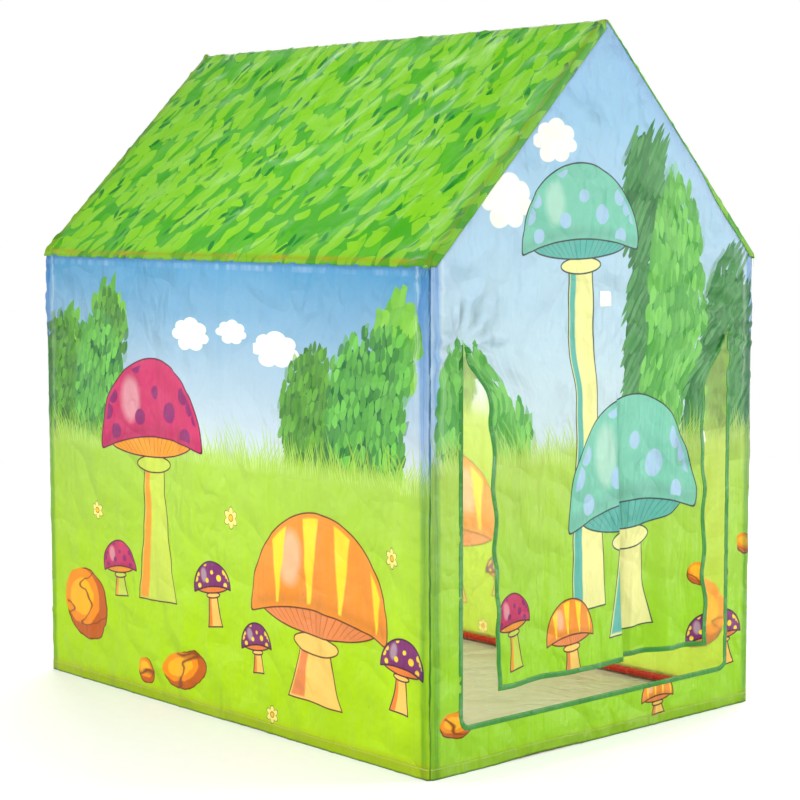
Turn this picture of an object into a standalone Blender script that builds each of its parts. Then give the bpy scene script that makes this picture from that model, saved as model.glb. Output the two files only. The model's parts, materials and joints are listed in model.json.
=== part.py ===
"""Kids play tent: a sewn polyester house over a frame of plug-together tubes.

Metres, +Z up, the door gable faces -Y, the ridge runs along Y, and the tent stands on z = 0 about the origin.
"""

import math

import bmesh
import bpy
from mathutils import Matrix, Quaternion, Vector

# Whole tent, outside the cloth
TENT_WIDTH = 0.690
TENT_LENGTH = 0.950
EAVE_HEIGHT = 0.705
ROOF_PITCH = math.radians(45)

# Cloth and the air left between pieces that touch
CLOTH_THICKNESS = 0.0006
SEAT_GAP = 0.0003
OVERRUN = 0.010
RAKE_LAP = 0.0012
SEAM_GAP = 0.0006
ARC_STEPS = 4

# Frame tubes, the moulded joints at the corners and the belled end by which one tube takes the next
TUBE_RADIUS = 0.006
TUBE_WALL = 0.0012
TUBE_SIDES = 16
SOCKET_WALL = 0.0016
SOCKET_DEPTH = 0.024
SOCKET_FLOOR = 0.004
HUB_BULGE = 0.0004
MOUTH_CHAMFER = 0.0006
BELL_DEPTH = 0.030
BELL_FLARE = 0.004

# Doorway in the front wall, its sewn edge and the two hanging flaps
JAMB_WIDTH = 0.0625
SILL_HEIGHT = 0.067
DOOR_DROP = 0.108
DOOR_CORNER = 0.012
BINDING_WIDTH = 0.008
BINDING_THICKNESS = 0.0014
HEM_GAP = 0.030
HINGE_GAP = 0.0002
FLAP_SIDE_GAP = 0.002
SLIT_GAP = 0.001
SLIT_TOP_SHIFT = 0.024
SLIT_FOOT_SHIFT = 0.058
TAPE_DROP = 0.003
FLAP_ROWS = 14
FLAP_COLUMNS = 14

# How each flap hangs: its outer edge draws in under the corner and then tapers, and the cloth falls in folds
DRAW_HEIGHT_SHARE = 0.20
LEFT_DRAW_IN = 0.045
LEFT_TAPER = 0.022
LEFT_FOLD_DEPTH = 0.008
LEFT_FOLDS = 1.5
LEFT_RECESS = 0.002
RIGHT_DRAW_IN = 0.055
RIGHT_TAPER = -0.015
RIGHT_FOLD_DEPTH = 0.010
RIGHT_FOLDS = 2.5
RIGHT_RECESS = 0.030

# Hook and loop closure on the right flap and jamb, and the blank patch sewn on the gable
CLOSURE_DROP = 0.156
CLOSURE_HEIGHT = 0.050
CLOSURE_REACH = 0.008
CLOSURE_WIDTH = 0.070
CLOSURE_THICKNESS = 0.0012
CLOSURE_COLUMNS = 8
PAD_WIDTH = 0.026
PATCH_WIDTH = 0.026
PATCH_HEIGHT = 0.020
PATCH_THICKNESS = 0.0006
PATCH_DROP = 0.054

# Sizes that follow from the ones above
BORE_RADIUS = TUBE_RADIUS + SEAT_GAP
SOCKET_RADIUS = BORE_RADIUS + SOCKET_WALL
HUB_RADIUS = SOCKET_RADIUS + HUB_BULGE
TUBE_STOP = HUB_RADIUS + SOCKET_FLOOR
AXIS_INSET = CLOTH_THICKNESS + SEAT_GAP + HUB_RADIUS
POST_X = TENT_WIDTH / 2 - AXIS_INSET
GABLE_FACE = TENT_LENGTH / 2 - RAKE_LAP
POST_Y = GABLE_FACE - AXIS_INSET
BASE_HEIGHT = AXIS_INSET
RIDGE_HEIGHT = EAVE_HEIGHT + POST_X * math.tan(ROOF_PITCH)
WALL_TOP = EAVE_HEIGHT - SEAT_GAP
CLOTH_MIDDLE = -GABLE_FACE + CLOTH_THICKNESS / 2
DOOR_HALF = TENT_WIDTH / 2 - JAMB_WIDTH
DOOR_TOP = EAVE_HEIGHT - DOOR_DROP
HINGE_CLEARANCE = CLOTH_THICKNESS + HINGE_GAP / 2
FLAP_LENGTH = DOOR_TOP - SILL_HEIGHT - HEM_GAP - HINGE_GAP

UP = Vector((0, 0, 1))
SIDES = {"left": -1, "right": 1}
ENDS = {"front": -1, "rear": 1}


def clear_scene():
    for old in list(bpy.data.objects):
        bpy.data.objects.remove(old, do_unlink=True)


def material(name, colour, roughness):
    made = bpy.data.materials.new(name)
    made.use_nodes = True
    surface = made.node_tree.nodes["Principled BSDF"]
    surface.inputs["Base Color"].default_value = (*colour, 1)
    surface.inputs["Roughness"].default_value = roughness
    surface.inputs["Metallic"].default_value = 0
    return made


def mesh_from(bm, name):
    bmesh.ops.recalc_face_normals(bm, faces=bm.faces)
    mesh = bpy.data.meshes.new(name)
    bm.to_mesh(mesh)
    bm.free()
    return mesh


def place(name, mesh, finish, location=(0, 0, 0), rotation=None, parent=None):
    """A named object in the scene, with its own material."""
    made = bpy.data.objects.new(name, mesh)
    made.parent = parent
    made.location = location
    if rotation is not None:
        made.rotation_mode = "QUATERNION"
        made.rotation_quaternion = rotation
    if not mesh.materials:
        mesh.materials.append(finish)
    bpy.context.scene.collection.objects.link(made)
    return made


def solidify(thing, thickness, offset):
    """Gives a surface its wall. Offset -1 grows it away from its normals, and 0 both ways."""
    wall = thing.modifiers.new("wall", "SOLIDIFY")
    wall.thickness = thickness
    wall.offset = offset
    wall.use_even_offset = True


# Turned pieces: tubes and the arms of the joints
def turned_mesh(name, profile, closed):
    """Spins a profile of (radius, height) pairs about Z."""
    bm = bmesh.new()
    points = [bm.verts.new((radius, 0, height)) for radius, height in profile]
    edges = [bm.edges.new(pair) for pair in zip(points, points[1:])]
    if closed:
        edges.append(bm.edges.new((points[-1], points[0])))
    bmesh.ops.spin(
        bm, geom=points + edges, axis=UP, cent=(0, 0, 0), angle=math.tau, steps=TUBE_SIDES, use_merge=True
    )
    bmesh.ops.remove_doubles(bm, verts=bm.verts, dist=SEAT_GAP / 100)
    mesh = mesh_from(bm, name)
    mesh.shade_smooth()
    mesh.set_sharp_from_angle(angle=math.radians(40))
    return mesh


def towards(direction):
    return UP.rotation_difference(Vector(direction).normalized())


def tube_between(name, start, end, belled=False):
    """A hollow tube from one point to another, which may end in a bell that takes the next tube."""
    start, end = Vector(start), Vector(end)
    length = (end - start).length
    inner = TUBE_RADIUS - TUBE_WALL
    near = [(inner, 0), (TUBE_RADIUS, 0)]
    floor = length - BELL_DEPTH
    bell = [
        (TUBE_RADIUS, floor - BELL_FLARE),
        (SOCKET_RADIUS, floor),
        (SOCKET_RADIUS, length - MOUTH_CHAMFER),
        (SOCKET_RADIUS - MOUTH_CHAMFER, length),
        (BORE_RADIUS, length),
        (BORE_RADIUS, floor),
        (inner, floor),
    ]
    plain = [(TUBE_RADIUS, length), (inner, length)]
    mesh = turned_mesh(name, near + (bell if belled else plain), closed=True)
    return place(name, mesh, tube_red, start, towards(end - start))


def boolean(thing, operation, other):
    step = thing.modifiers.new(operation.lower(), "BOOLEAN")
    step.operation = operation
    step.solver = "EXACT"
    step.object = other
    other.hide_render = True
    other.display_type = "WIRE"


def joint_mesh(name, directions):
    """A moulded joint at the origin: a round hub with one blind socket along each direction."""
    bm = bmesh.new()
    bmesh.ops.create_uvsphere(bm, u_segments=TUBE_SIDES, v_segments=TUBE_SIDES // 2, radius=HUB_RADIUS)
    hub = place(name, mesh_from(bm, name), joint_red)
    reach = TUBE_STOP + SOCKET_DEPTH
    arm = turned_mesh(
        name + "_arm",
        [
            (0, 0),
            (SOCKET_RADIUS, 0),
            (SOCKET_RADIUS, reach - MOUTH_CHAMFER),
            (SOCKET_RADIUS - MOUTH_CHAMFER, reach),
            (0, reach),
        ],
        closed=False,
    )
    bore = turned_mesh(
        name + "_bore",
        [(0, TUBE_STOP), (BORE_RADIUS, TUBE_STOP), (BORE_RADIUS, reach + OVERRUN), (0, reach + OVERRUN)],
        closed=False,
    )
    facet = math.tau / TUBE_SIDES
    helpers = []
    for operation, shape in (("UNION", arm), ("DIFFERENCE", bore)):
        for number, direction in enumerate(directions, start=1):
            twist = Quaternion(UP, facet * number / (len(directions) + 1))
            turn = towards(direction) @ twist
            helper = place(f"{name}_{shape.name}_{number}", shape, joint_red, rotation=turn)
            boolean(hub, operation, helper)
            helpers.append(helper)
    bpy.context.view_layer.update()
    finished = hub.evaluated_get(bpy.context.evaluated_depsgraph_get())
    bm = bmesh.new()
    bm.from_mesh(finished.to_mesh())
    finished.to_mesh_clear()
    for used in [hub, *helpers]:
        bpy.data.objects.remove(used, do_unlink=True)
    bmesh.ops.remove_doubles(bm, verts=bm.verts, dist=SEAT_GAP / 10)
    bmesh.ops.dissolve_degenerate(bm, edges=bm.edges, dist=SEAT_GAP / 10)
    mesh = mesh_from(bm, name)
    mesh.set_sharp_from_angle(angle=math.radians(40))
    return mesh


def build_joints():
    """Four base corners, four eave corners and the two ends of the ridge."""
    rise, run = math.sin(ROOF_PITCH), math.cos(ROOF_PITCH)
    half_turn = Matrix.Rotation(math.pi, 3, "Z").to_quaternion()
    corner = joint_mesh("base_joint", [(1, 0, 0), (0, 1, 0), (0, 0, 1)])
    quarter_turns = {("left", "front"): 0, ("right", "front"): 1, ("right", "rear"): 2, ("left", "rear"): 3}
    eave = {
        "left": joint_mesh("eave_joint_left", [(0, 0, -1), (0, 1, 0), (run, 0, rise)]),
        "right": joint_mesh("eave_joint_right", [(0, 0, -1), (0, 1, 0), (-run, 0, rise)]),
    }
    for side, x in SIDES.items():
        for end, y in ENDS.items():
            turn = Matrix.Rotation(quarter_turns[side, end] * math.pi / 2, 3, "Z").to_quaternion()
            foot = (x * POST_X, y * POST_Y, BASE_HEIGHT)
            place(f"base_corner_{side}_{end}", corner, joint_red, foot, turn)
            opposite = {"left": "right", "right": "left"}[side]
            shape, turn = (eave[side], None) if end == "front" else (eave[opposite], half_turn)
            place(f"eave_corner_{side}_{end}", shape, joint_red, (x * POST_X, y * POST_Y, EAVE_HEIGHT), turn)
    ridge = joint_mesh("ridge_joint", [(0, 1, 0), (run, 0, -rise), (-run, 0, -rise)])
    place("ridge_joint_front", ridge, joint_red, (0, -POST_Y, RIDGE_HEIGHT))
    place("ridge_joint_rear", ridge, joint_red, (0, POST_Y, RIDGE_HEIGHT), half_turn)


def split_run(belled_name, plain_name, start, end):
    """Two tubes end to end between two joints, the plain one pushed into the bell of the other."""
    start, end = Vector(start), Vector(end)
    along = (end - start).normalized()
    middle = (start + end) / 2
    seat = along * (TUBE_STOP + SEAT_GAP)
    tube_between(belled_name, start + seat, middle + along * BELL_DEPTH / 2, belled=True)
    tube_between(plain_name, middle - along * (BELL_DEPTH / 2 - SEAT_GAP), end - seat)


def build_frame():
    """Base rectangle, four posts, two eaves and the ridge in half lengths, and four whole rafters."""
    for end, y in ENDS.items():
        run = [(x * POST_X, y * POST_Y, BASE_HEIGHT) for x in SIDES.values()]
        split_run(f"base_tube_{end}_left", f"base_tube_{end}_right", *run)
    for side, x in SIDES.items():
        base = [(x * POST_X, y * POST_Y, BASE_HEIGHT) for y in ENDS.values()]
        split_run(f"base_tube_{side}_front", f"base_tube_{side}_rear", *base)
        eave = [(x * POST_X, y * POST_Y, EAVE_HEIGHT) for y in ENDS.values()]
        split_run(f"eave_tube_{side}_front", f"eave_tube_{side}_rear", *eave)
        for (end, y), foot, head in zip(ENDS.items(), base, eave):
            split_run(f"post_{side}_{end}_lower", f"post_{side}_{end}_upper", foot, head)
            peak = Vector((0, y * POST_Y, RIDGE_HEIGHT))
            seat = (peak - Vector(head)).normalized() * (TUBE_STOP + SEAT_GAP)
            tube_between(f"rafter_{side}_{end}", Vector(head) + seat, peak - seat)
    ridge = [(0, y * POST_Y, RIDGE_HEIGHT) for y in ENDS.values()]
    split_run("ridge_tube_front", "ridge_tube_rear", *ridge)


# Sewn cloth
def arc(centre, radius, start, end, steps=ARC_STEPS):
    """Points on an arc in a plane, both ends included."""
    angles = [start + (end - start) * step / steps for step in range(steps + 1)]
    return [(centre[0] + radius * math.cos(a), centre[1] + radius * math.sin(a)) for a in angles]


def strip_mesh(name, path, depth):
    """A surface made by carrying a path of 3D points along a vector."""
    bm = bmesh.new()
    points = [bm.verts.new(point) for point in path]
    edges = [bm.edges.new(pair) for pair in zip(points, points[1:])]
    grown = bmesh.ops.extrude_edge_only(bm, edges=edges)
    moved = [g for g in grown["geom"] if isinstance(g, bmesh.types.BMVert)]
    bmesh.ops.translate(bm, vec=depth, verts=moved)
    return mesh_from(bm, name)


def face_outwards(mesh):
    """Turns a surface so that its normals point away from the tent's middle line."""
    bm = bmesh.new()
    bm.from_mesh(mesh)
    heart = Vector((0, 0, EAVE_HEIGHT / 2))
    inward = [f for f in bm.faces if f.normal.dot(f.calc_center_median() - heart) < 0]
    bmesh.ops.reverse_faces(bm, faces=inward)
    bm.to_mesh(mesh)
    bm.free()
    return mesh


def corner_arc(side, end, to_side):
    """The half of a rounded corner, in plan, that belongs to the side wall or to the end wall."""
    x, y = SIDES[side], ENDS[end]
    seam = SEAM_GAP / 2 / AXIS_INSET
    bounds = (0, math.pi / 4 - seam) if to_side else (math.pi / 2, math.pi / 4 + seam)
    return [(x * px, y * py) for px, py in arc((POST_X, POST_Y), AXIS_INSET, *bounds)]


def build_side_walls():
    """Side walls that wrap an eighth of a turn round the post at either end, up to the seam along the eave."""
    for side in SIDES:
        plan = corner_arc(side, "front", True)[::-1] + corner_arc(side, "rear", True)
        path = [(x, y, 0) for x, y in plan]
        mesh = face_outwards(strip_mesh(f"wall_{side}", path, (0, 0, WALL_TOP)))
        solidify(place(f"wall_{side}", mesh, wall_cloth), CLOTH_THICKNESS, -1)


def roof_outline(offset):
    """The roof's section in (x, z), outside the frame's axes by an offset, from the left eave to the right."""
    eave_turn = math.pi / 2 - ROOF_PITCH
    left = arc((-POST_X, EAVE_HEIGHT), offset, math.pi, math.pi - eave_turn)
    ridge = arc((0, RIDGE_HEIGHT), offset, math.pi / 2 + ROOF_PITCH, math.pi / 2 - ROOF_PITCH)
    right = arc((POST_X, EAVE_HEIGHT), offset, eave_turn, 0)
    return left + ridge + right


def build_roof():
    """One cloth over both slopes, turned down round the eave tubes."""
    path = [(x, -TENT_LENGTH / 2, z) for x, z in roof_outline(AXIS_INSET)]
    mesh = face_outwards(strip_mesh("roof_cover", path, (0, TENT_LENGTH, 0)))
    solidify(place("roof_cover", mesh, roof_cloth), CLOTH_THICKNESS, -1)


def door_outline(grow):
    """The doorway's sewn edge in (x, z), down the left jamb, along the sill and up the right, grown outwards."""
    corner = DOOR_CORNER + grow
    inner_x, inner_z = DOOR_HALF - DOOR_CORNER, SILL_HEIGHT + DOOR_CORNER
    left = arc((-inner_x, inner_z), corner, math.pi, 3 * math.pi / 2)
    right = arc((inner_x, inner_z), corner, -math.pi / 2, 0)
    return [(-DOOR_HALF - grow, DOOR_TOP)] + left + right + [(DOOR_HALF + grow, DOOR_TOP)]


def prism_mesh(name, outline, y, depth):
    """A closed block that carries an outline in (x, z) along Y."""
    bm = bmesh.new()
    face = bm.faces.new([bm.verts.new((x, y, z)) for x, z in outline])
    grown = bmesh.ops.extrude_face_region(bm, geom=[face])
    moved = [g for g in grown["geom"] if isinstance(g, bmesh.types.BMVert)]
    bmesh.ops.translate(bm, vec=(0, depth, 0), verts=moved)
    return mesh_from(bm, name)


def end_wall_mesh(end):
    """A gable wall: the flat sheet up to the rafters, and the strips that turn round the two posts."""
    y = ENDS[end]
    gable = [(x, z) for x, z in roof_outline(HUB_RADIUS) if z > EAVE_HEIGHT + SEAT_GAP]
    outline = [(-POST_X, 0), (-POST_X, WALL_TOP), *gable, (POST_X, WALL_TOP), (POST_X, 0)]
    bm = bmesh.new()
    points = [bm.verts.new((px, y * GABLE_FACE, pz)) for px, pz in outline]
    bm.faces.new(points)
    for side, low, high in (("left", points[0], points[1]), ("right", points[-1], points[-2])):
        for px, py in corner_arc(side, end, False)[1:]:
            next_low, next_high = bm.verts.new((px, py, 0)), bm.verts.new((px, py, WALL_TOP))
            bm.faces.new([low, next_low, next_high, high])
            low, high = next_low, next_high
    return face_outwards(mesh_from(bm, f"wall_{end}"))


def build_end_walls():
    """The plain rear gable and the front gable with its doorway."""
    for end in ENDS:
        wall = place(f"wall_{end}", end_wall_mesh(end), wall_cloth)
        solidify(wall, CLOTH_THICKNESS, -1)
        if end == "front":
            top = DOOR_TOP + HINGE_CLEARANCE
            edge = door_outline(BINDING_WIDTH + SEAT_GAP)
            outline = [(edge[0][0], top), *edge[1:-1], (edge[-1][0], top)]
            block = prism_mesh("doorway_cut", outline, -GABLE_FACE - OVERRUN, 2 * OVERRUN)
            boolean(wall, "DIFFERENCE", place("doorway_cut", block, wall_cloth))
    band = door_outline(BINDING_WIDTH) + door_outline(0)[::-1]
    mesh = prism_mesh("door_binding", band, CLOTH_MIDDLE - BINDING_THICKNESS / 2, BINDING_THICKNESS)
    place("door_binding", mesh, binding_green)


def build_floor():
    """The groundsheet, inside the four walls."""
    outline = []
    corners = [("right", "rear"), ("left", "rear"), ("left", "front"), ("right", "front")]
    for quarter, (side, end) in enumerate(corners):
        centre = (SIDES[side] * POST_X, ENDS[end] * POST_Y)
        start = quarter * math.pi / 2
        outline += arc(centre, HUB_RADIUS, start, start + math.pi / 2)
    bm = bmesh.new()
    face = bm.faces.new([bm.verts.new((x, y, 0)) for x, y in outline])
    grown = bmesh.ops.extrude_face_region(bm, geom=[face])
    moved = [g for g in grown["geom"] if isinstance(g, bmesh.types.BMVert)]
    bmesh.ops.translate(bm, vec=(0, 0, CLOTH_THICKNESS), verts=moved)
    place("floor_sheet", mesh_from(bm, "floor_sheet"), floor_cloth)


# Door flaps
def smooth_ramp(value):
    value = max(0.0, min(1.0, value))
    return value * value * (3 - 2 * value)


FLAP_HANG = {
    "left": (LEFT_DRAW_IN, LEFT_TAPER, LEFT_FOLD_DEPTH, LEFT_FOLDS, LEFT_RECESS),
    "right": (RIGHT_DRAW_IN, RIGHT_TAPER, RIGHT_FOLD_DEPTH, RIGHT_FOLDS, RIGHT_RECESS),
}


def flap_edges(side, down):
    """Where the flap's outer edge and slit edge lie in x, at a distance below the hinge line."""
    draw_in, taper = FLAP_HANG[side][:2]
    share = down / FLAP_LENGTH
    inset = FLAP_SIDE_GAP + draw_in * smooth_ramp(share / DRAW_HEIGHT_SHARE) + taper * share
    slit = SLIT_TOP_SHIFT + (SLIT_FOOT_SHIFT - SLIT_TOP_SHIFT) * share
    return SIDES[side] * (DOOR_HALF - inset), slit + SIDES[side] * SLIT_GAP / 2


def flap_point(side, across, down, behind=0.0):
    """A point of a flap from its hinge line: across from its outer edge, down, and behind its middle surface."""
    outer, slit = flap_edges(side, down)
    depth, folds, recess = FLAP_HANG[side][2:]
    width = abs(slit - outer)
    share = across / width
    fall = smooth_ramp(down / FLAP_LENGTH)
    fold = depth * (1 - math.cos(math.tau * folds * share)) / 2
    y = CLOTH_THICKNESS / 2 + fall * (fold + recess * smooth_ramp(share)) + behind
    return outer - SIDES[side] * across, y, -HINGE_GAP - down


def grid_mesh(name, rows, columns, point, keep):
    """A surface of quads through point(row, column), with only the faces that keep(row, column) lets stay."""
    bm = bmesh.new()
    grid = [[bm.verts.new(point(r, c)) for c in range(columns + 1)] for r in range(rows + 1)]
    for r in range(rows):
        for c in range(columns):
            if keep(r, c):
                bm.faces.new([grid[r][c], grid[r][c + 1], grid[r + 1][c + 1], grid[r + 1][c]])
    loose = [v for v in bm.verts if not v.link_faces]
    bmesh.ops.delete(bm, geom=loose, context="VERTS")
    mesh = mesh_from(bm, name)
    mesh.shade_smooth()
    return mesh


def hinge_line(name):
    """An empty on the sewn line that a flap swings about, at the cloth's outer face."""
    line = bpy.data.objects.new(name, None)
    line.location = (0, -GABLE_FACE, DOOR_TOP)
    bpy.context.scene.collection.objects.link(line)
    return line


def build_flap(side, line):
    """A hanging flap, and the tape bound round its outer edge and hem."""

    def width(down):
        outer, slit = flap_edges(side, down)
        return abs(slit - outer)

    def tape_row(row):
        """Distance down to a row of points that the tape and the cloth beside it share."""
        return TAPE_DROP + row / FLAP_ROWS * (FLAP_LENGTH - BINDING_WIDTH - TAPE_DROP)

    def cloth_point(row, column):
        down = 0 if row == 0 else tape_row(row - 1)
        if row > FLAP_ROWS:
            down -= SEAT_GAP
        start = BINDING_WIDTH + SEAT_GAP
        across = start + column / FLAP_COLUMNS * (width(down) - start)
        return flap_point(side, across, down)

    def binding_point(row, column):
        down = FLAP_LENGTH if row > FLAP_ROWS else tape_row(row)
        start = BINDING_WIDTH
        across = 0 if column == 0 else start + (column - 1) / FLAP_COLUMNS * (width(down) - start)
        return flap_point(side, across, down)

    cloth = grid_mesh(f"door_flap_{side}", FLAP_ROWS + 1, FLAP_COLUMNS, cloth_point, lambda r, c: True)
    solidify(place(f"door_flap_{side}", cloth, wall_cloth, parent=line), CLOTH_THICKNESS, 0)
    tape = grid_mesh(
        f"flap_binding_{side}",
        FLAP_ROWS + 1,
        FLAP_COLUMNS + 1,
        binding_point,
        lambda r, c: c == 0 or r == FLAP_ROWS,
    )
    solidify(place(f"flap_binding_{side}", tape, binding_green, parent=line), BINDING_THICKNESS, 0)


def block_mesh(name, low, high):
    bm = bmesh.new()
    bmesh.ops.create_cube(bm, size=1)
    bmesh.ops.scale(bm, vec=Vector(high) - Vector(low), verts=bm.verts)
    bmesh.ops.translate(bm, vec=(Vector(high) + Vector(low)) / 2, verts=bm.verts)
    return mesh_from(bm, name)


def build_closure(line):
    """The tab behind the right flap's edge, the pad behind the jamb, and the blank patch on the gable."""
    behind = (BINDING_THICKNESS + CLOSURE_THICKNESS) / 2 + SEAT_GAP

    def tab_point(row, column):
        down = CLOSURE_DROP + row * CLOSURE_HEIGHT
        across = column / CLOSURE_COLUMNS * CLOSURE_WIDTH - CLOSURE_REACH
        return flap_point("right", across, down, behind)

    tab = grid_mesh("closure_tab", 1, CLOSURE_COLUMNS, tab_point, lambda r, c: True)
    solidify(place("closure_tab", tab, patch_white, parent=line), CLOSURE_THICKNESS, 0)

    middle = DOOR_TOP - CLOSURE_DROP - CLOSURE_HEIGHT / 2
    pad_x = DOOR_HALF + BINDING_WIDTH + SEAT_GAP
    pad_y = -GABLE_FACE + CLOTH_THICKNESS + SEAT_GAP
    low = (pad_x, pad_y, middle - CLOSURE_HEIGHT / 2)
    high = (pad_x + PAD_WIDTH, pad_y + CLOSURE_THICKNESS, middle + CLOSURE_HEIGHT / 2)
    place("closure_pad", block_mesh("closure_pad", low, high), patch_white)

    patch_z = EAVE_HEIGHT - PATCH_DROP
    patch_y = -GABLE_FACE - SEAT_GAP
    low = (-PATCH_WIDTH / 2, patch_y - PATCH_THICKNESS, patch_z - PATCH_HEIGHT / 2)
    high = (PATCH_WIDTH / 2, patch_y, patch_z + PATCH_HEIGHT / 2)
    place("gable_patch", block_mesh("gable_patch", low, high), patch_white)


clear_scene()
tube_red = material("tube_red", (0.62, 0.02, 0.02), 0.35)
joint_red = material("joint_red", (0.45, 0.02, 0.02), 0.40)
wall_cloth = material("wall_cloth", (0.36, 0.66, 0.42), 0.55)
roof_cloth = material("roof_cloth", (0.22, 0.60, 0.07), 0.55)
floor_cloth = material("floor_cloth", (0.72, 0.68, 0.52), 0.60)
binding_green = material("binding_green", (0.09, 0.42, 0.09), 0.60)
patch_white = material("patch_white", (0.90, 0.90, 0.88), 0.70)

build_frame()
build_joints()
build_floor()
build_side_walls()
build_end_walls()
build_roof()
for flap_side in SIDES:
    hinge = hinge_line(f"door_hinge_{flap_side}")
    build_flap(flap_side, hinge)
build_closure(hinge)
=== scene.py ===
"""Looks of a kids play tent: a printed cloth house over a plug-together frame of red plastic tubes.

Runs in Blender 4.5 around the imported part, in metres. +Z is up and the doorway faces -Y.
"""

import json
import math

import bmesh
import bpy
from mathutils import Color, Matrix, Vector, noise


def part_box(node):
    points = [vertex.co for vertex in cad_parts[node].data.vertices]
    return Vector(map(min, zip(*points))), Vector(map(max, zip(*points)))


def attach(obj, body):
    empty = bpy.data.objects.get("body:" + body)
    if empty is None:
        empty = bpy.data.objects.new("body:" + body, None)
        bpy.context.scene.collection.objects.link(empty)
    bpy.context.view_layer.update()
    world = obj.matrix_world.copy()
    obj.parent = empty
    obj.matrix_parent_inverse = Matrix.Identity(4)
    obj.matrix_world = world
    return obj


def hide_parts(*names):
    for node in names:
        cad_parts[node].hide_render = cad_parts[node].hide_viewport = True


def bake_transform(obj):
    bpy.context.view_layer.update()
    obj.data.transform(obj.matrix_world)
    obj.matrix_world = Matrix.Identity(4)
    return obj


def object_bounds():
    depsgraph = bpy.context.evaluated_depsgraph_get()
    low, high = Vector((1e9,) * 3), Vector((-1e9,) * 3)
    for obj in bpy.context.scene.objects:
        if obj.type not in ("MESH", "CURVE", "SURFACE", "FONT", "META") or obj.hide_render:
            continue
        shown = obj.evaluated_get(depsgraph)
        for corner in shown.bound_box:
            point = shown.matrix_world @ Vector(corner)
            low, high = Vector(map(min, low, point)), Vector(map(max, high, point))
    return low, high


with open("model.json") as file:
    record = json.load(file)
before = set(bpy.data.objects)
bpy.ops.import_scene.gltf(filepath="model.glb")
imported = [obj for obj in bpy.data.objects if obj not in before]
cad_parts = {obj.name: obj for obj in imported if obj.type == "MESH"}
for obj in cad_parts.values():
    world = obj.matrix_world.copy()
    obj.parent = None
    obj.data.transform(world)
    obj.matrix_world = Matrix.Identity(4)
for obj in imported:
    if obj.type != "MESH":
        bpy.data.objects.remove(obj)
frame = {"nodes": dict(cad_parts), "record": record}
cad_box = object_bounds()


# Tube frame: round plastic tubes, drawn in red and cut to length, with ten moulded joints between them.
# Each long run is two halves, one of them belled to take the other, and all of it plugs together by hand.
BODY = "cover_and_frame"
TUBE_MERGE = 0.00002
ROUND_BELOW = math.radians(40)
SKIN_DEPTH, SKIN_STRENGTH, RUB_ROUGHNESS = 0.0002, 0.35, 0.4
SOCKETS = {"value": "NodeSocketFloat", "point": "NodeSocketVector", "colour": "NodeSocketColor"}


def dye(red, green, blue):
    """A colour as a screen shows it, from 0 to 255, in the linear values that a shader takes."""
    return (*Color((red / 255, green / 255, blue / 255)).from_srgb_to_scene_linear(), 1.0)


def worked(operation, swapped=False):
    """A method that puts one Math node behind a field."""

    def method(self, value=None):
        pair = (value, self) if swapped else (self, value)
        return self.node("Math", *pair, operation=operation)

    return method


class Field:
    """A number, point or colour that changes over a surface. Arithmetic on it adds nodes to its shader."""

    def __init__(self, socket):
        self.socket = socket

    def node(self, kind, *inputs, out=0, **settings):
        """Adds a node. An input takes a field or a plain value, and None leaves it alone."""
        tree = self.socket.id_data
        made = tree.nodes.new(f"ShaderNode{kind}")
        for name, value in settings.items():
            setattr(made, name, value)
        for socket, value in zip(made.inputs, inputs):
            if isinstance(value, Field):
                tree.links.new(value.socket, socket)
            elif value is not None:
                socket.default_value = value
        return Field(made.outputs[out])

    __add__ = __radd__ = worked("ADD")
    __mul__ = __rmul__ = worked("MULTIPLY")
    __sub__, __rsub__ = worked("SUBTRACT"), worked("SUBTRACT", swapped=True)
    __truediv__, __rtruediv__ = worked("DIVIDE"), worked("DIVIDE", swapped=True)
    __pow__, __abs__ = worked("POWER"), worked("ABSOLUTE")
    at_least, at_most = worked("MAXIMUM"), worked("MINIMUM")
    floor, over = worked("FLOOR"), worked("GREATER_THAN")

    def other(self, name):
        """Another output of the node that this field comes from."""
        return Field(self.socket.node.outputs[name])

    def parts(self):
        """A point's first two coordinates."""
        split = self.node("SeparateXYZ", self)
        return split, split.other("Y")

    def vector(self, operation, value=None, out=0):
        return self.node("VectorMath", self, value, operation=operation, out=out)

    def noise(self, scale, detail=2.0, **settings):
        return self.node("TexNoise", self, None, scale, detail, **settings)

    def grain(self, along, across, detail=2.0):
        """Noise with a scale of its own each way, for what is drawn out along the cloth."""
        return self.vector("MULTIPLY", (along, across, 1.0)).noise(1.0, detail)

    def ragged(self, scale, reach):
        """This point moved about by noise, for uneven edges."""
        wobble = self.noise(scale, out=1)
        return wobble.node("VectorMath", wobble, (reach,) * 3, self, operation="MULTIPLY_ADD")

    def painted(self, colour, mask):
        """This colour with another one laid over it where the mask is 1."""
        return self.node("Mix", mask, *[None] * 5, self, colour, out=2, data_type="RGBA")

    def between(self, low, high):
        """A colour between two, the low one where this is 0."""
        return self.painted(low, 1.0).painted(high, self)

    def clamped(self):
        return self.at_least(0.0).at_most(1.0)

    def inside(self, edge=0.0008):
        """1 where this distance is below zero, 0 where it is above, with a soft edge of that width."""
        return self.node("Math", self, -1 / edge, 0.5, operation="MULTIPLY_ADD", use_clamp=True)


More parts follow.
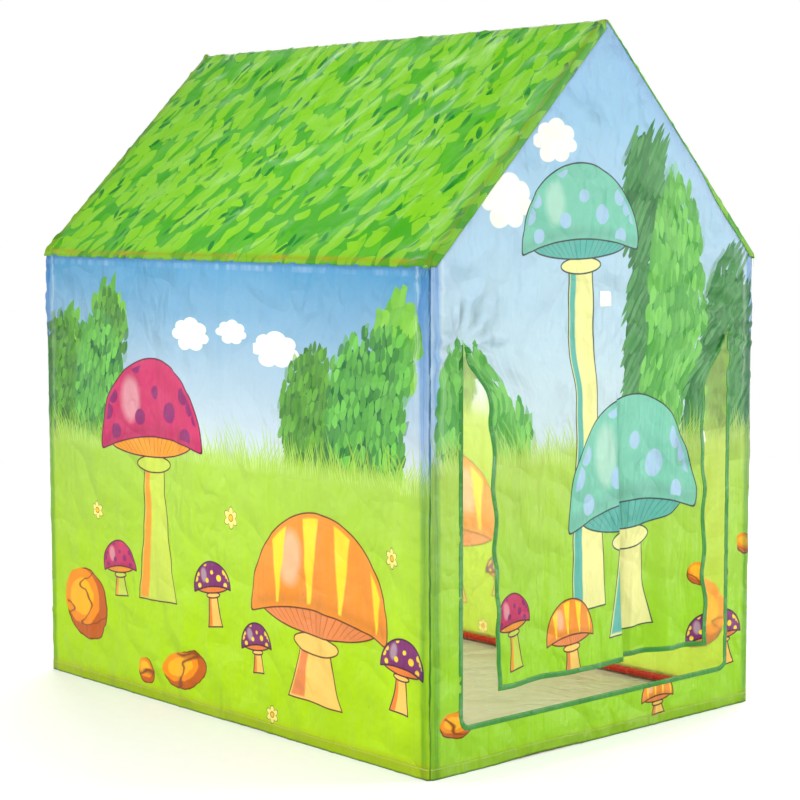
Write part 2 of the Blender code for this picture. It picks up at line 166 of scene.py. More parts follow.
def shader_tool(name, takes, gives, recipe):
    """A shader node group with named sockets, filled by its recipe. Gives back a way to place it."""
    tree = bpy.data.node_groups.new(name, "ShaderNodeTree")
    for way, sockets in (("INPUT", takes), ("OUTPUT", gives)):
        for label, kind in sockets.items():
            tree.interface.new_socket(label, in_out=way, socket_type=SOCKETS[kind])
    given, done = (tree.nodes.new(f"NodeGroup{end}") for end in ("Input", "Output"))
    made = recipe(*[Field(given.outputs[label]) for label in takes])
    for label, field in zip(gives, made):
        tree.links.new(field.socket, done.inputs[label])

    def place(*inputs):
        host = next(value for value in inputs if isinstance(value, Field))
        return host.node("Group", *inputs, node_tree=tree)

    return place


def new_material(name, **constants):
    """A material, with plain numbers set on its Principled shader by name, and its object coordinates."""
    made = bpy.data.materials.new(name)
    made.use_nodes = True
    shader = made.node_tree.nodes["Principled BSDF"]
    for socket, value in constants.items():
        shader.inputs[socket.replace("_", " ")].default_value = value
    coordinates = made.node_tree.nodes.new("ShaderNodeTexCoord")
    return made, shader, Field(coordinates.outputs["Object"])


def feed(shader, **fields):
    """Links fields to a shader's sockets by name."""
    for socket, field in fields.items():
        field.socket.id_data.links.new(field.socket, shader.inputs[socket.replace("_", " ")])


def rub_recipe(point):
    scuffs = point.noise(70.0, 6.0)
    fine = point.noise(900.0, 3.0)
    marks = point.vector("MULTIPLY", (240.0, 240.0, 35.0)).noise(1.0, 4.0)
    return (scuffs - 0.58).at_least(0.0) * 3.0 + (marks - 0.62).at_least(0.0) * 2.0, fine + scuffs * 2.0


handling_rubs = shader_tool(
    "Handling rubs", {"Point": "point"}, {"Rub": "value", "Height": "value"}, rub_recipe
)


def red_plastic(name, colour, worn, roughness):
    """Glossy red plastic with rubbed places, which are paler and duller, and an uneven skin."""
    made, shader, point = new_material(name, Specular_IOR_Level=0.5, Coat_Weight=0.15, Coat_Roughness=0.2)
    rub = handling_rubs(point)
    tone = point.noise(18.0)
    base = (rub + tone * 0.25).at_most(1.0).between(colour, worn)
    bump = rub.node("Bump", SKIN_STRENGTH, SKIN_DEPTH, None, rub.other("Height"))
    feed(shader, Base_Color=base, Roughness=rub * RUB_ROUGHNESS + roughness, Normal=bump)
    return made


tube_plastic = red_plastic("red tube", dye(186, 12, 14), dye(214, 62, 56), 0.26)
joint_plastic = red_plastic("red joint", dye(160, 10, 12), dye(196, 60, 54), 0.42)


def rounded(node, piece):
    """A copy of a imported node's mesh with its triangles merged, so that light runs smoothly round it."""
    bm = bmesh.new()
    bm.from_mesh(frame["nodes"][node].data)
    bmesh.ops.remove_doubles(bm, verts=bm.verts, dist=TUBE_MERGE)
    for face in bm.faces:
        face.smooth = True
    for edge in bm.edges:
        edge.smooth = edge.is_manifold and edge.calc_face_angle() < ROUND_BELOW
    return linked(bm, piece)


def linked(bm, name):
    """An object at the origin that holds a finished mesh."""
    mesh = bpy.data.meshes.new(name)
    bm.to_mesh(mesh)
    bm.free()
    made = bpy.data.objects.new(name, mesh)
    bpy.context.scene.collection.objects.link(made)
    return made


def dress(piece, stands_for=None, body=BODY):
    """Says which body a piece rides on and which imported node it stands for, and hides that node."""
    if body:
        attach(piece, body)
    if stands_for:
        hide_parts(stands_for)


plastics = {"tube_red": tube_plastic, "joint_red": joint_plastic}
for row in frame["record"]["subparts"]:
    node_name, slot_name = row["node"], row["material_slot"]
    if slot_name in plastics:
        piece = rounded(node_name, f"plastic_{node_name}")
        piece.data.materials.append(plastics[slot_name])
        dress(piece, node_name)


# Floor sheet: one plain cream polyester cloth, cut square, hemmed and sewn to the walls' bottom edge.
# It lies loose on the ground inside the base tubes, so it keeps shallow ripples.
CLOTH_THICKNESS = 0.0006
POST_ROUND = 0.0092
CLOTH_PITCH, FLOOR_PITCH, BEND_PITCH = 0.006, 0.012, 0.002
CUT_MAP = "cut"
WEAVE_PITCH = 0.0006
WEAVE_DEPTH, SLUB_DEPTH, SOFT_DEPTH = 0.00003, 0.00008, 0.010
CRUMPLE_DEPTH, TENSION_DEPTH, HANG_DEPTH = 0.0016, 0.0048, 0.0034
CLOTH_ROUGHNESS, SOFT_ROUGHNESS, CLOTH_GLOSS = 0.18, 0.3, 0.42
FLOOR_RIPPLE, FLOOR_CALM, FLOOR_INSET = 0.0016, 0.04, 0.0003
TENT_HEART = Vector((0, 0, 0.4))
half_width, half_length = cad_box[1].x - POST_ROUND, -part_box("wall_front")[0].y - POST_ROUND
corner_run = POST_ROUND * math.pi / 4


def stations(stops, pitches):
    """Grid lines over the stretches between stops, no further apart than each stretch's pitch."""
    lines = [stops[0]]
    for low, high, pitch in zip(stops, stops[1:], pitches):
        count = max(1, math.ceil((high - low) / pitch - TUBE_MERGE))
        lines += [low + (high - low) * (step + 1) / count for step in range(count)]
    return lines


def lay_out(across, up):
    """A flat sheet in XY with grid lines at the given stations."""
    bm = bmesh.new()
    columns, rows = len(across) - 1, len(up) - 1
    bmesh.ops.create_grid(bm, x_segments=columns, y_segments=rows, size=0.5)
    for vert in bm.verts:
        column, row = round((vert.co.x + 0.5) * columns), round((vert.co.y + 0.5) * rows)
        vert.co = (across[column], up[row], 0)
    return bm


def swell(*place):
    """Smooth noise at a place, from about -0.7 to 0.7."""
    return noise.noise(Vector(place))


def sew(bm, name, place, outside, inside, heart=TENT_HEART, flat=None):
    """Keeps each point's place on the flat cloth as a UV map in metres, then puts the cloth where it hangs.
    Its outside faces away from the heart."""
    cut = bm.loops.layers.uv.new(CUT_MAP)
    for face in bm.faces:
        face.smooth = True
        for loop in face.loops:
            loop[cut].uv = flat(*loop.vert.co.xy) if flat else loop.vert.co.xy
    for vert in bm.verts:
        vert.co = place(*vert.co.xy)
    for edge in bm.edges:
        edge.smooth = not edge.is_boundary
    bm.normal_update()
    if sum(f.normal.dot(f.calc_center_median() - heart) for f in bm.faces) < 0:
        bmesh.ops.reverse_faces(bm, faces=bm.faces)
    made = linked(bm, name)
    made.data.materials.append(outside)
    made.data.materials.append(inside)
    shell = made.modifiers.new("cloth thickness", "SOLIDIFY")
    shell.thickness, shell.offset = CLOTH_THICKNESS, -1
    shell.material_offset, shell.material_offset_rim = 1, 0
    return made


def turned(point, angle, centre=None):
    return point.node("VectorRotate", point, centre, None, angle, rotation_type="Z_AXIS")


def thread_wave(part):
    return part.node("Math", part * (math.tau / WEAVE_PITCH), operation="SINE")


def fold_lines(point, scale, sharp):
    """0 in the bottom of a net of creases and 1 on the cloth between them."""
    lines = point.grain(*scale, 1.0)
    return (abs(lines - 0.5) * sharp).at_most(1.0)


def cloth_recipe(point):
    """The height of thread, slubs and creases: crumples in patches, and hanging creases between these."""
    warp, weft = point.parts()
    weave = thread_wave(warp) * thread_wave(weft)
    slub = point.grain(35.0, 420.0)
    crumple = fold_lines(point, (30.0, 16.0), 9.0) * CRUMPLE_DEPTH
    tension = fold_lines(turned(point, 0.6), (6.0, 10.0), 6.0) * TENSION_DEPTH
    hang = point.grain(60.0, 4.0)
    broad = point.noise(5.0, 1.0)
    soft = point.noise(14.0, 3.0)
    patches = (broad * 6.0 - 2.9).clamped()
    height = weave * WEAVE_DEPTH + slub * SLUB_DEPTH + soft * SOFT_DEPTH
    height = height + crumple * patches + tension
    return height + hang * (1.0 - patches) * HANG_DEPTH, soft


thin_cloth = shader_tool("Thin cloth", {"Point": "point"}, {"Height": "value", "Soft": "value"}, cloth_recipe)


def cloth_material(name, picture, glow=0.5, fade=0.0, sheen=0.03, creased=1.0, gloss=CLOTH_GLOSS):
    """Thin woven polyester: its printed picture, a soft gloss, the weave and small creases, and light that
    comes through it. The back of a print is paler, and doesn't dye that light once more."""
    made, shader, _ = new_material(name, Specular_IOR_Level=gloss, Sheen_Weight=sheen, Sheen_Roughness=0.4)
    tree = made.node_tree
    chart = tree.nodes.new("ShaderNodeUVMap")
    chart.uv_map = CUT_MAP
    point = Field(chart.outputs["UV"])
    cloth = thin_cloth(point)
    colour = picture(point)
    light = colour
    if fade:
        colour = colour.painted(dye(252, 236, 208), fade)
        light = colour.painted(dye(255, 248, 240), 0.8)
    bump = cloth.node("Bump", 1.0, creased, None, cloth)
    rough = cloth.other("Soft") * SOFT_ROUGHNESS + CLOTH_ROUGHNESS
    feed(shader, Base_Color=colour, Roughness=rough, Normal=bump)
    through = tree.nodes.new("ShaderNodeBsdfTranslucent")
    feed(through, Color=light, Normal=bump)
    both = tree.nodes.new("ShaderNodeMixShader")
    both.inputs["Fac"].default_value = glow
    tree.links.new(shader.outputs[0], both.inputs[1])
    tree.links.new(through.outputs[0], both.inputs[2])
    tree.links.new(both.outputs[0], tree.nodes["Material Output"].inputs["Surface"])
    return made


def cream_picture(point):
    worn = point.noise(6.0, 5.0)
    dust = point.noise(60.0, 6.0)
    cream = worn.between(dye(228, 220, 216), dye(208, 200, 190))
    return cream.painted(dye(178, 170, 156), (dust - 0.56).at_least(0.0))


def lay_floor(x, y):
    ripples = swell(x * 7, y * 5, 3) + swell(x * 19, y * 16, 8) / 3
    edge = min(half_width - abs(x), half_length - abs(y))
    return x, y, CLOTH_THICKNESS + FLOOR_RIPPLE * max(0, ripples) * min(1, max(0, edge / FLOOR_CALM))


floor_reach = [reach + POST_ROUND - CLOTH_THICKNESS - FLOOR_INSET for reach in (half_width, half_length)]
floor_cloth = cloth_material("cream cloth", cream_picture, glow=0.1)
floor_grid = lay_out(*[stations((-reach, reach), (FLOOR_PITCH,)) for reach in floor_reach])
floor = sew(floor_grid, "floor_cloth_laid", lay_floor, floor_cloth, floor_cloth, Vector((0, 0, -1)))
dress(floor, "floor_sheet")


# Side walls: printed polyester taffeta, each one cut as a plain rectangle and sewn up its two ends and
# along the eave. Sky, bushes, meadow and toadstools are printed on the outside and show paler inside.
EAVE_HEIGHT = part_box("wall_left")[1].z
WALL_LENGTH = 2 * (half_length + corner_run)
# Folds are their depth and how many there are in a metre, roughly, across and down.
HANG_FOLD, FLUTE, RUFFLE = (0.0085, 8, 2.2), (0.0034, 26, 2.6), (0.0026, 30, 22)
CREASE, CREASE_SHARP, FAN_PEAK = 0.0022, 6, 2.3
PUCKER, PUCKER_REACH, PUCKER_PITCH = 0.0036, 0.022, 0.016
FOLD_REACH, TUBE_NEAR, TUBE_CLEAR, DEEPEST = 0.06, 0.018, 0.03, -0.004
CORNER_STAND, STAND_REACH, CORNER_CALM = 0.0034, 0.035, 0.004
HEM_RISE, RISE_REACH = 0.0060, 0.06
SIDE_FAN, SIDE_SEED = (0.085, 11, 0.0042), 20
HORIZON = 0.405
INK, LINE = dye(62, 52, 44), 0.0011
INNER_FADE = 0.58
FACES = {"outside": 0.0, "inside": INNER_FADE}
FOOT_PITCH, SIDE_FOOT, END_FOOT = 0.005, 0.03, 0.02
sheets, trims, walls = {}, {}, {}


def smooth(value):
    """Eases from 0 to 1 as the value does."""
    value = max(0.0, min(1.0, value))
    return value * value * (3 - 2 * value)


def wave(u, v, fold, seed):
    depth, across, down = fold
    return depth * swell(u * across, v * down, seed)


def ripple(u, v, seams, seed, pulls=0.0, deepest=DEEPEST):
    """How far stretched cloth stands out of flat: hanging folds in the open, puckers beside each seam, and
    what pulls on it. A seam is its distance and the place along it. Over the tubes cloth only stands out."""
    near = min(distance for distance, along in seams)
    lift = wave(u, v, HANG_FOLD, seed)
    lift += wave(u, v, FLUTE, seed + 4) * smooth(0.5 + 2 * lift / HANG_FOLD[0])
    lift += wave(u, v, RUFFLE, seed)
    crest = 1 - CREASE_SHARP * abs(swell(u * 13 + v * 6, v * 8 - u * 5, seed + 7))
    lift += CREASE * max(0, crest) * smooth(swell(u * 4, v * 4, seed + 9) + 0.5)
    lift *= smooth(near / FOLD_REACH)
    for number, (distance, along) in enumerate(seams):
        pucker = swell(along / PUCKER_PITCH, distance * 25, seed + number + 1)
        lift += PUCKER * math.exp(-distance / PUCKER_REACH) * pucker
    lift += pulls
    return lift if lift > 0 else max(lift, deepest) * smooth((near - TUBE_NEAR) / TUBE_CLEAR)


def fan(u, v, corner, reach, folds, depth):
    """Folds that spread out of a corner where the cloth is pulled."""
    away = math.hypot(u - corner[0], v - corner[1]) / reach
    turn = math.atan2(v - corner[1], u - corner[0]) + swell(u * 30, v * 30, folds) / 3
    return depth * FAN_PEAK * away * math.exp(-away * away) * math.sin(folds * turn)


def corner_stand(side, end, z, near):
    """How far the cloth stands off a corner post, the same for both of the walls that meet there."""
    loose = max(0, swell(z * 9, side * 5, end * 3) + swell(z * 28, side * 7, end) / 2)
    return CORNER_STAND * loose * smooth(1 - near / STAND_REACH)


def hem_rise(run, z, seed):
    """How far the bottom edge is off the ground."""
    return HEM_RISE * max(0, swell(run * 4.5, seed, 2)) * smooth(1 - z / RISE_REACH)


def round_post(run, flat_half, lift):
    """Carries a distance from a wall's middle round the post: how far along, and how far out of its line."""
    turn = max(0.0, abs(run) - flat_half) / POST_ROUND
    reach = POST_ROUND + lift
    return math.copysign(min(abs(run), flat_half) + reach * math.sin(turn), run), reach * math.cos(turn)


def framed(point, centre, radii):
    """A point in the frame of a motif, which has its centre at zero and radii of 1."""
    return point.vector("SUBTRACT", centre).vector("DIVIDE", radii)


def oval_recipe(point, centre, radii):
    """About how far outside an oval a point is, in metres."""
    inner = framed(point, centre, radii)
    near = inner.vector("LENGTH", out=1)
    return (near * (near - 1.0) / inner.vector("DIVIDE", radii).vector("LENGTH", out=1),)


def scallop_recipe(point, centre, radii, lobes, depth):
    """The same for a round shape with lobes, such as a flower."""
    inner = framed(point, centre, radii)
    angle = inner.node("TexGradient", inner, out=1, gradient_type="RADIAL")
    wave = abs(angle.node("Math", angle * lobes * math.pi, operation="SINE"))
    size, _ = radii.parts()
    return ((inner.vector("LENGTH", out=1) - 1.0 + depth * (1.0 - wave)) * size,)


def cloud_recipe(below, point, centre, radii):
    """A cloud made of puffs, each its x, y and radius in the cloud's frame."""
    inner = framed(point, centre, radii)
    edge = None
    for x, y, puff in CLOUD_PUFFS:
        near = inner.vector("SUBTRACT", (x, y, 0)).vector("LENGTH", out=1) - puff
        edge = near if edge is None else edge.at_most(near)
    return (below.painted(dye(252, 253, 252), edge.inside(0.04)),)


def inked_recipe(below, distance, colour, ink, line):
    """A painted shape with an ink line round it."""
    return (below.painted(colour, distance.inside()).painted(ink, (abs(distance) - line).inside()),)


MOTIF = {"Point": "point", "Centre": "point", "Radii": "point"}
CLOUD_PUFFS = (
    (-0.70, 0.04, 0.30), (-0.42, 0.44, 0.34), (0.08, 0.56, 0.42), (0.54, 0.34, 0.36), (0.74, -0.14, 0.28),
    (0.30, -0.46, 0.36), (-0.28, -0.46, 0.38), (0.0, 0.0, 0.62),
)
oval = shader_tool("Oval", MOTIF, {"Distance": "value"}, oval_recipe)
scallop = shader_tool(
    "Scallop", MOTIF | {"Lobes": "value", "Depth": "value"}, {"Distance": "value"}, scallop_recipe
)
cloud_group = shader_tool("Printed cloud", {"Below": "colour"} | MOTIF, {"Colour": "colour"}, cloud_recipe)
inked = shader_tool(
    "Inked shape",
    {"Below": "colour", "Distance": "value", "Colour": "colour", "Ink": "colour", "Line": "value"},
    {"Colour": "colour"},
    inked_recipe,
)


def leaf_recipe(point, cell, shift, swing, plump):
    """One leaf in each cell, turned by chance. Gives its shape, a tone of its own and where it starts."""
    grid = point.vector("ADD", shift).vector("DIVIDE", cell)
    near = grid.node("TexVoronoi", grid, None, 1.0, voronoi_dimensions="2D")
    home, chance = near.other("Position"), near.other("Color")
    pick, tone = chance.parts()
    along, across = turned(grid.vector("SUBTRACT", home), (pick - 0.5) * swing).parts()
    edge = abs(across) / plump + along * along * 2.6 - 1.0
    return edge.inside(0.14), tone, home.vector("MULTIPLY", cell).vector("SUBTRACT", shift)


leaf = shader_tool(
    "Leaves",
    {"Point": "point", "Cell": "point", "Shift": "point", "Swing": "value", "Plump": "value"},
    {"Leaf": "value", "Tone": "value", "Home": "point"},
    leaf_recipe,
)


def grove(point, places, sizes):
    """How far outside the nearest of a bush's ovals a point is, in radii."""
    nearest = None
    for place, size in zip(places, sizes):
        near = framed(point, place, size).vector("LENGTH", out=1)
        nearest = near if nearest is None else nearest.at_most(near)
    return nearest - 1.0


def foliage_recipe(below, point, cell, lean, swing, dark, light, *ovals):
    """A dark heart with ragged edges, then three layers of leaves, lighter from one to the next."""
    places, sizes = ovals[::2], ovals[1::2]
    heart = grove(point.ragged(60.0, 0.012), places, sizes) + 0.14
    picture = below.painted(dark, heart.inside(0.01))
    tilted = turned(point, lean * -1.0)
    for layer, shift in enumerate(((0, 0, 0), (0.013, 0.007, 0), (0.005, 0.019, 0))):
        leaves = leaf(tilted, cell, shift, swing, 0.42)
        tone = (leaves.other("Tone") * 0.8 + 0.12 * layer).at_most(1.0)
        grown = grove(turned(leaves.other("Home"), lean), places, sizes).inside(0.04)
        picture = picture.painted(tone.between(dark, light), leaves * grown)
    return (picture,)


OVALS = {f"{name} {number}": "point" for number in (1, 2, 3) for name in ("Place", "Size")}
foliage_group = shader_tool(
    "Printed bush",
    {"Below": "colour", "Point": "point", "Cell": "point", "Lean": "value", "Swing": "value"}
    | {"Dark": "colour", "Light": "colour"}
    | OVALS,
    {"Colour": "colour"},
    foliage_recipe,
)


def foliage(below, point, ovals, cell, lean, swing, dark, light):
    """A bush of three ovals, each its centre x and z and its radii. A leaf that starts inside is whole."""
    sockets = [value for x, z, wide, tall in ovals for value in ((x, z, 0), (wide, tall, 1))]
    return foliage_group(below, point, (*cell, 1), lean, swing, dark, light, *sockets)


def print_group(name, picture):
    """One printed picture as a group, which both faces of its cloth use."""
    return shader_tool(name, {"Point": "point"}, {"Colour": "colour"}, lambda point: (picture(point),))


def sky_recipe(point, low_edge, high_edge, low, high):
    _, height = point.parts()
    share = ((height - low_edge) / (high_edge - low_edge)).clamped()
    haze = point.grain(3.0, 9.0, 3.0)
    return ((share + (haze - 0.5) * 0.25).clamped().between(low, high),)


sky = shader_tool(
    "Printed sky",
    {"Point": "point", "Foot": "value", "Top": "value", "Low": "colour", "High": "colour"},
    {"Colour": "colour"},
    sky_recipe,
)


def blades(point, horizon, tall, pitch, tilt):
    """Distance above a fringe of grass blades, each a leaning spike of its own height."""
    x, y = point.parts()
    rise = y - horizon
    sway = point.node("TexNoise", None, x * 9.0, 1.0, 1.0, noise_dimensions="1D") - 0.5
    across = (x + rise * (sway * 1.6 + tilt)) / pitch
    chance = across.node("TexWhiteNoise", None, across.floor(), noise_dimensions="1D")
    spike = across.node("Math", across, 0.5, operation="PINGPONG") * 2.0
    return rise - tall * spike * (chance * 0.8 + 0.2)


def meadow_recipe(below, point, horizon, tall, far, near):
    """Grass that gets deeper in colour towards the foot, and blades of it along the horizon."""
    _, y = point.parts()
    streak = point.grain(90.0, 7.0, 3.0)
    depth = ((horizon - y) / horizon).at_least(0.0)
    ground = (depth * 1.5 + (streak - 0.5) * 0.3).at_most(1.0).between(far, near)
    fringes = (
        (far, 0.0, 1.0, 0.007, 0.35, 0.012, 0.55),
        (far, 0.0, 0.75, 0.0045, -0.3, 0.004, 0.8),
        (dye(214, 240, 150), 0.012, 0.7, 0.006, 0.1, 0.004, 0.35),
        (ground, 0.016, 0.5, 0.0035, 0.2, 0.005, 1.0),
    )
    for paint, drop, share, pitch, tilt, soft, strength in fringes:
        fringe = blades(point, horizon - drop, tall * share, pitch, tilt).inside(soft)
        below = below.painted(paint, fringe * strength)
    return (below,)


meadow = shader_tool(
    "Printed meadow",
    {"Below": "colour", "Point": "point", "Horizon": "value", "Tall": "value"}
    | {"Far": "colour", "Near": "colour"},
    {"Colour": "colour"},
    meadow_recipe,
)


def toadstool_recipe(below, point, place, lean, size, reach, cap, marks, stem, shade, ink, striped):
    """A toadstool with its brim's centre at a place: stem and its shade, skirt, gills, then the cap with its
    shade, shine, and dots or stripes. Within it, lengths are in half caps."""
    local = turned(point, lean * -1.0, place).vector("SUBTRACT", place)
    local = local.vector("DIVIDE", size.node("CombineXYZ", size, size, size))
    x, y = local.parts()
    depth = (y / reach) * -1.0
    half = depth * depth * 0.20 + 0.20
    stalk = (abs(x) - half).at_least(y).at_least(y * -1.0 - reach)
    picture = inked(below, stalk * size, stem, ink, LINE)
    picture = picture.painted(shade, (stalk + 0.025).at_least(x + half * 0.45).inside(0.02))
    skirt = oval(local, (0, -0.34, 0), (0.34, 0.10, 1))
    picture = inked(picture, skirt * size, stem, ink, LINE)
    gills = oval(local, (0, -0.05, 0), (0.86, 0.21, 1))
    picture = inked(picture, gills * size, shade, ink, LINE)
    folds = x.node("Math", x / (y + 0.55) * 5.0, 0.5, operation="PINGPONG")
    picture = picture.painted(ink, (folds - 0.07).at_least(gills + 0.03).inside(0.06) * 0.45)
    dome = oval(local, (0, -0.12, 0), (1, 1.02, 1))
    brim = x * x * -0.17 - 0.02 - y
    edge = dome.node("Math", dome, brim, 0.08, operation="SMOOTH_MAX")
    picture = inked(picture, edge * size, cap, ink, LINE)
    picture = picture.painted(ink, (edge + 0.02).at_least(-0.14 - brim).inside(0.10) * 0.16)
    shine = oval(local, (-0.42, 0.42, 0), (0.16, 0.26, 1))
    picture = picture.painted((1, 1, 1, 1), shine.inside(0.10) * 0.30)
    near = local.node("TexVoronoi", local, None, 2.3, voronoi_dimensions="2D")
    chance, _ = near.other("Color").parts()
    dots = (near - 0.16 - chance * 0.14).at_least(edge * 2.3 + 0.12).inside(0.03)
    wedge = x.node("Math", x * 2.1 + 0.25, 0.5, operation="PINGPONG") * 0.5 - (y + 0.16) * 0.13
    bars = wedge.at_least(edge + 0.05).inside(0.02)
    return (picture.painted(marks, dots + (bars - dots) * striped),)


PAINT = ("Cap", "Marks", "Stem", "Shade", "Ink")
toadstool_group = shader_tool(
    "Printed toadstool",
    {"Below": "colour", "Point": "point", "Place": "point"}
    | {"Lean": "value", "Size": "value", "Reach": "value"}
    | {name: "colour" for name in PAINT}
    | {"Striped": "value"},
    {"Colour": "colour"},
    toadstool_recipe,
)
TEAL = (dye(134, 208, 192), dye(178, 210, 240), dye(240, 240, 176), dye(104, 190, 184), dye(60, 76, 78))
CORAL = (dye(243, 160, 60), dye(250, 226, 60), dye(248, 214, 120), dye(236, 150, 90), dye(110, 60, 30))
MAGENTA = (dye(206, 58, 116), dye(150, 44, 120), dye(206, 224, 92), dye(242, 168, 54), dye(96, 30, 60))
PLUM = (dye(136, 52, 124), dye(248, 222, 60), dye(250, 206, 110), dye(238, 140, 60), dye(76, 34, 60))


def chosen(point, rows):
    """For each column of the rows, its value in the stretch of x that a point is in. So one motif's nodes
    draw a whole row of them. Each row starts with the end of its stretch."""
    x, _ = point.parts()
    ends, *columns = zip(*rows)
    picked = []
    for column in columns:
        ramp = x.node("ValToRGB", x * 0.5 + 0.5)
        stops = ramp.socket.node.color_ramp
        stops.interpolation = "CONSTANT"
        stops.elements.remove(stops.elements[1])
        for start, value in zip((-1.0, *ends), column):
            stop = stops.elements.new(start * 0.5 + 0.5) if start > -1.0 else stops.elements[0]
            stop.color = (*value, 1.0)[:4] if isinstance(value, tuple) else (value, value, value, 1.0)
        picked.append(ramp)
    return picked


def toadstools(below, point, rows):
    """Each row: the end of its stretch, brim centre x and z, half a cap, the stem in half caps, paints, lean,
    and 1 for stripes."""
    spread = [
        (end, (x, z, 0), lean % math.tau, size, stem, *paints, striped)
        for end, x, z, size, stem, paints, lean, striped in rows
    ]
    return toadstool_group(below, point, *chosen(point, spread))


def stone_recipe(below, point, centre, radii, turn):
    """An uneven stone, lit in two steps from the upper left, with cracks."""
    rough = turned(point.ragged(30.0, 0.014), turn, centre)
    edge = oval(rough, centre, radii)
    light_centre = radii.node("VectorMath", radii, (-0.18, 0.24, 0), centre, operation="MULTIPLY_ADD")
    light = oval(rough, light_centre, radii.vector("MULTIPLY", (0.86, 0.80, 1)))
    crest = oval(rough, light_centre, radii.vector("MULTIPLY", (0.60, 0.50, 1)))
    picture = inked(below, edge, dye(206, 104, 22), dye(120, 62, 20), LINE)
    picture = picture.painted(dye(246, 158, 10), light.inside(0.002))
    picture = picture.painted(dye(254, 196, 30), crest.inside(0.002))
    cracks = (0.10 - fold_lines(rough, (8.0, 20.0), 5.0)).at_least(0.0) * 12.0
    return (picture.painted(dye(150, 76, 20), cracks.at_most(1.0) * edge.inside(0.002)),)


stone = shader_tool(
    "Printed stone", {"Below": "colour"} | MOTIF | {"Turn": "value"}, {"Colour": "colour"}, stone_recipe
)


def stones(below, point, rows):
    """Each row: the end of its stretch, centre x and z, radii and turn."""
    spots = [(end, (x, z, 0), (wide, tall, 1), turn % math.tau) for end, x, z, wide, tall, turn in rows]
    return stone(below, point, *chosen(point, spots))


def clouds(below, point, rows):
    """Each row: the end of its stretch, centre x and z, and radii."""
    spots = chosen(point, [(end, (x, z, 0), (wide, tall, 1)) for end, x, z, wide, tall in rows])
    return cloud_group(below, point, *spots)


def daisies(below, point, rows, petals):
    """Each row: the end of its stretch, centre x and z, and radius."""
    row = [(end, (x, z, 0), (size, size, 1), (size * 0.3, size * 0.3, 1)) for end, x, z, size in rows]
    spots, sizes, hearts = chosen(point, row)
    picture = inked(below, scallop(point, spots, sizes, 6.0, 0.42), petals, INK, LINE / 2)
    return inked(picture, oval(point, spots, hearts), dye(250, 206, 40), INK, LINE / 2)


def band(distance, place, half, soft):
    """1 in a band about a place, so far to both sides of it, with soft edges."""
    return (abs(distance - place) - half).inside(soft)


def painted_shade_band(below, distance, place, half, colour, strength):
    """A band of painted shade over the print, such as the line where a tube behind the thin cloth touches it
    and shows through.
    """
    return below.painted(colour, band(distance, place, half, half * 1.6) * strength)


def frame_shading(below, point, width, warm):
    """How the frame shows through the cloth, in painted light: a streaky band of painted shade over each
    corner post, a painted highlight beside it higher up, a warm band of painted shade and tint over the base
    tubes, and a painted shade line along the hem's bottom edge under that."""
    along, height = point.parts()
    edge = abs(along - width / 2)
    shade = below.vector("MULTIPLY", (0.40, 0.64, 0.92))
    streak = point.grain(420.0, 8.0, 3.0)
    # Painted shade: the corner post behind the cloth darkens a streaky band over it.
    post = band(edge, width / 2 - 0.010, 0.006, 0.007)
    picture = below.painted(shade, post * (streak * 1.6 - 0.1).clamped())
    # Painted highlight: a pale streaky band beside the post, higher up, where the cloth over it catches the
    # light.
    pale = band(edge + (streak - 0.5) * 0.006, width / 2 - 0.021, 0.003, 0.007)
    high = (height * 5.0 - 1.8).clamped()
    picture = picture.painted(dye(236, 246, 252), pale * high * (streak * 2.4 - 0.8).at_least(0.0) * 0.5)
    # Painted shade and tint where the base tube behind the cloth shows through.
    picture = painted_shade_band(picture, height, POST_ROUND * 1.3, 0.008, dye(196, 184, 0), warm)
    # Painted shade: a dark line along the bottom edge of the hem.
    return painted_shade_band(picture, height, 0.0, 0.0020, dye(30, 96, 24), 0.8)


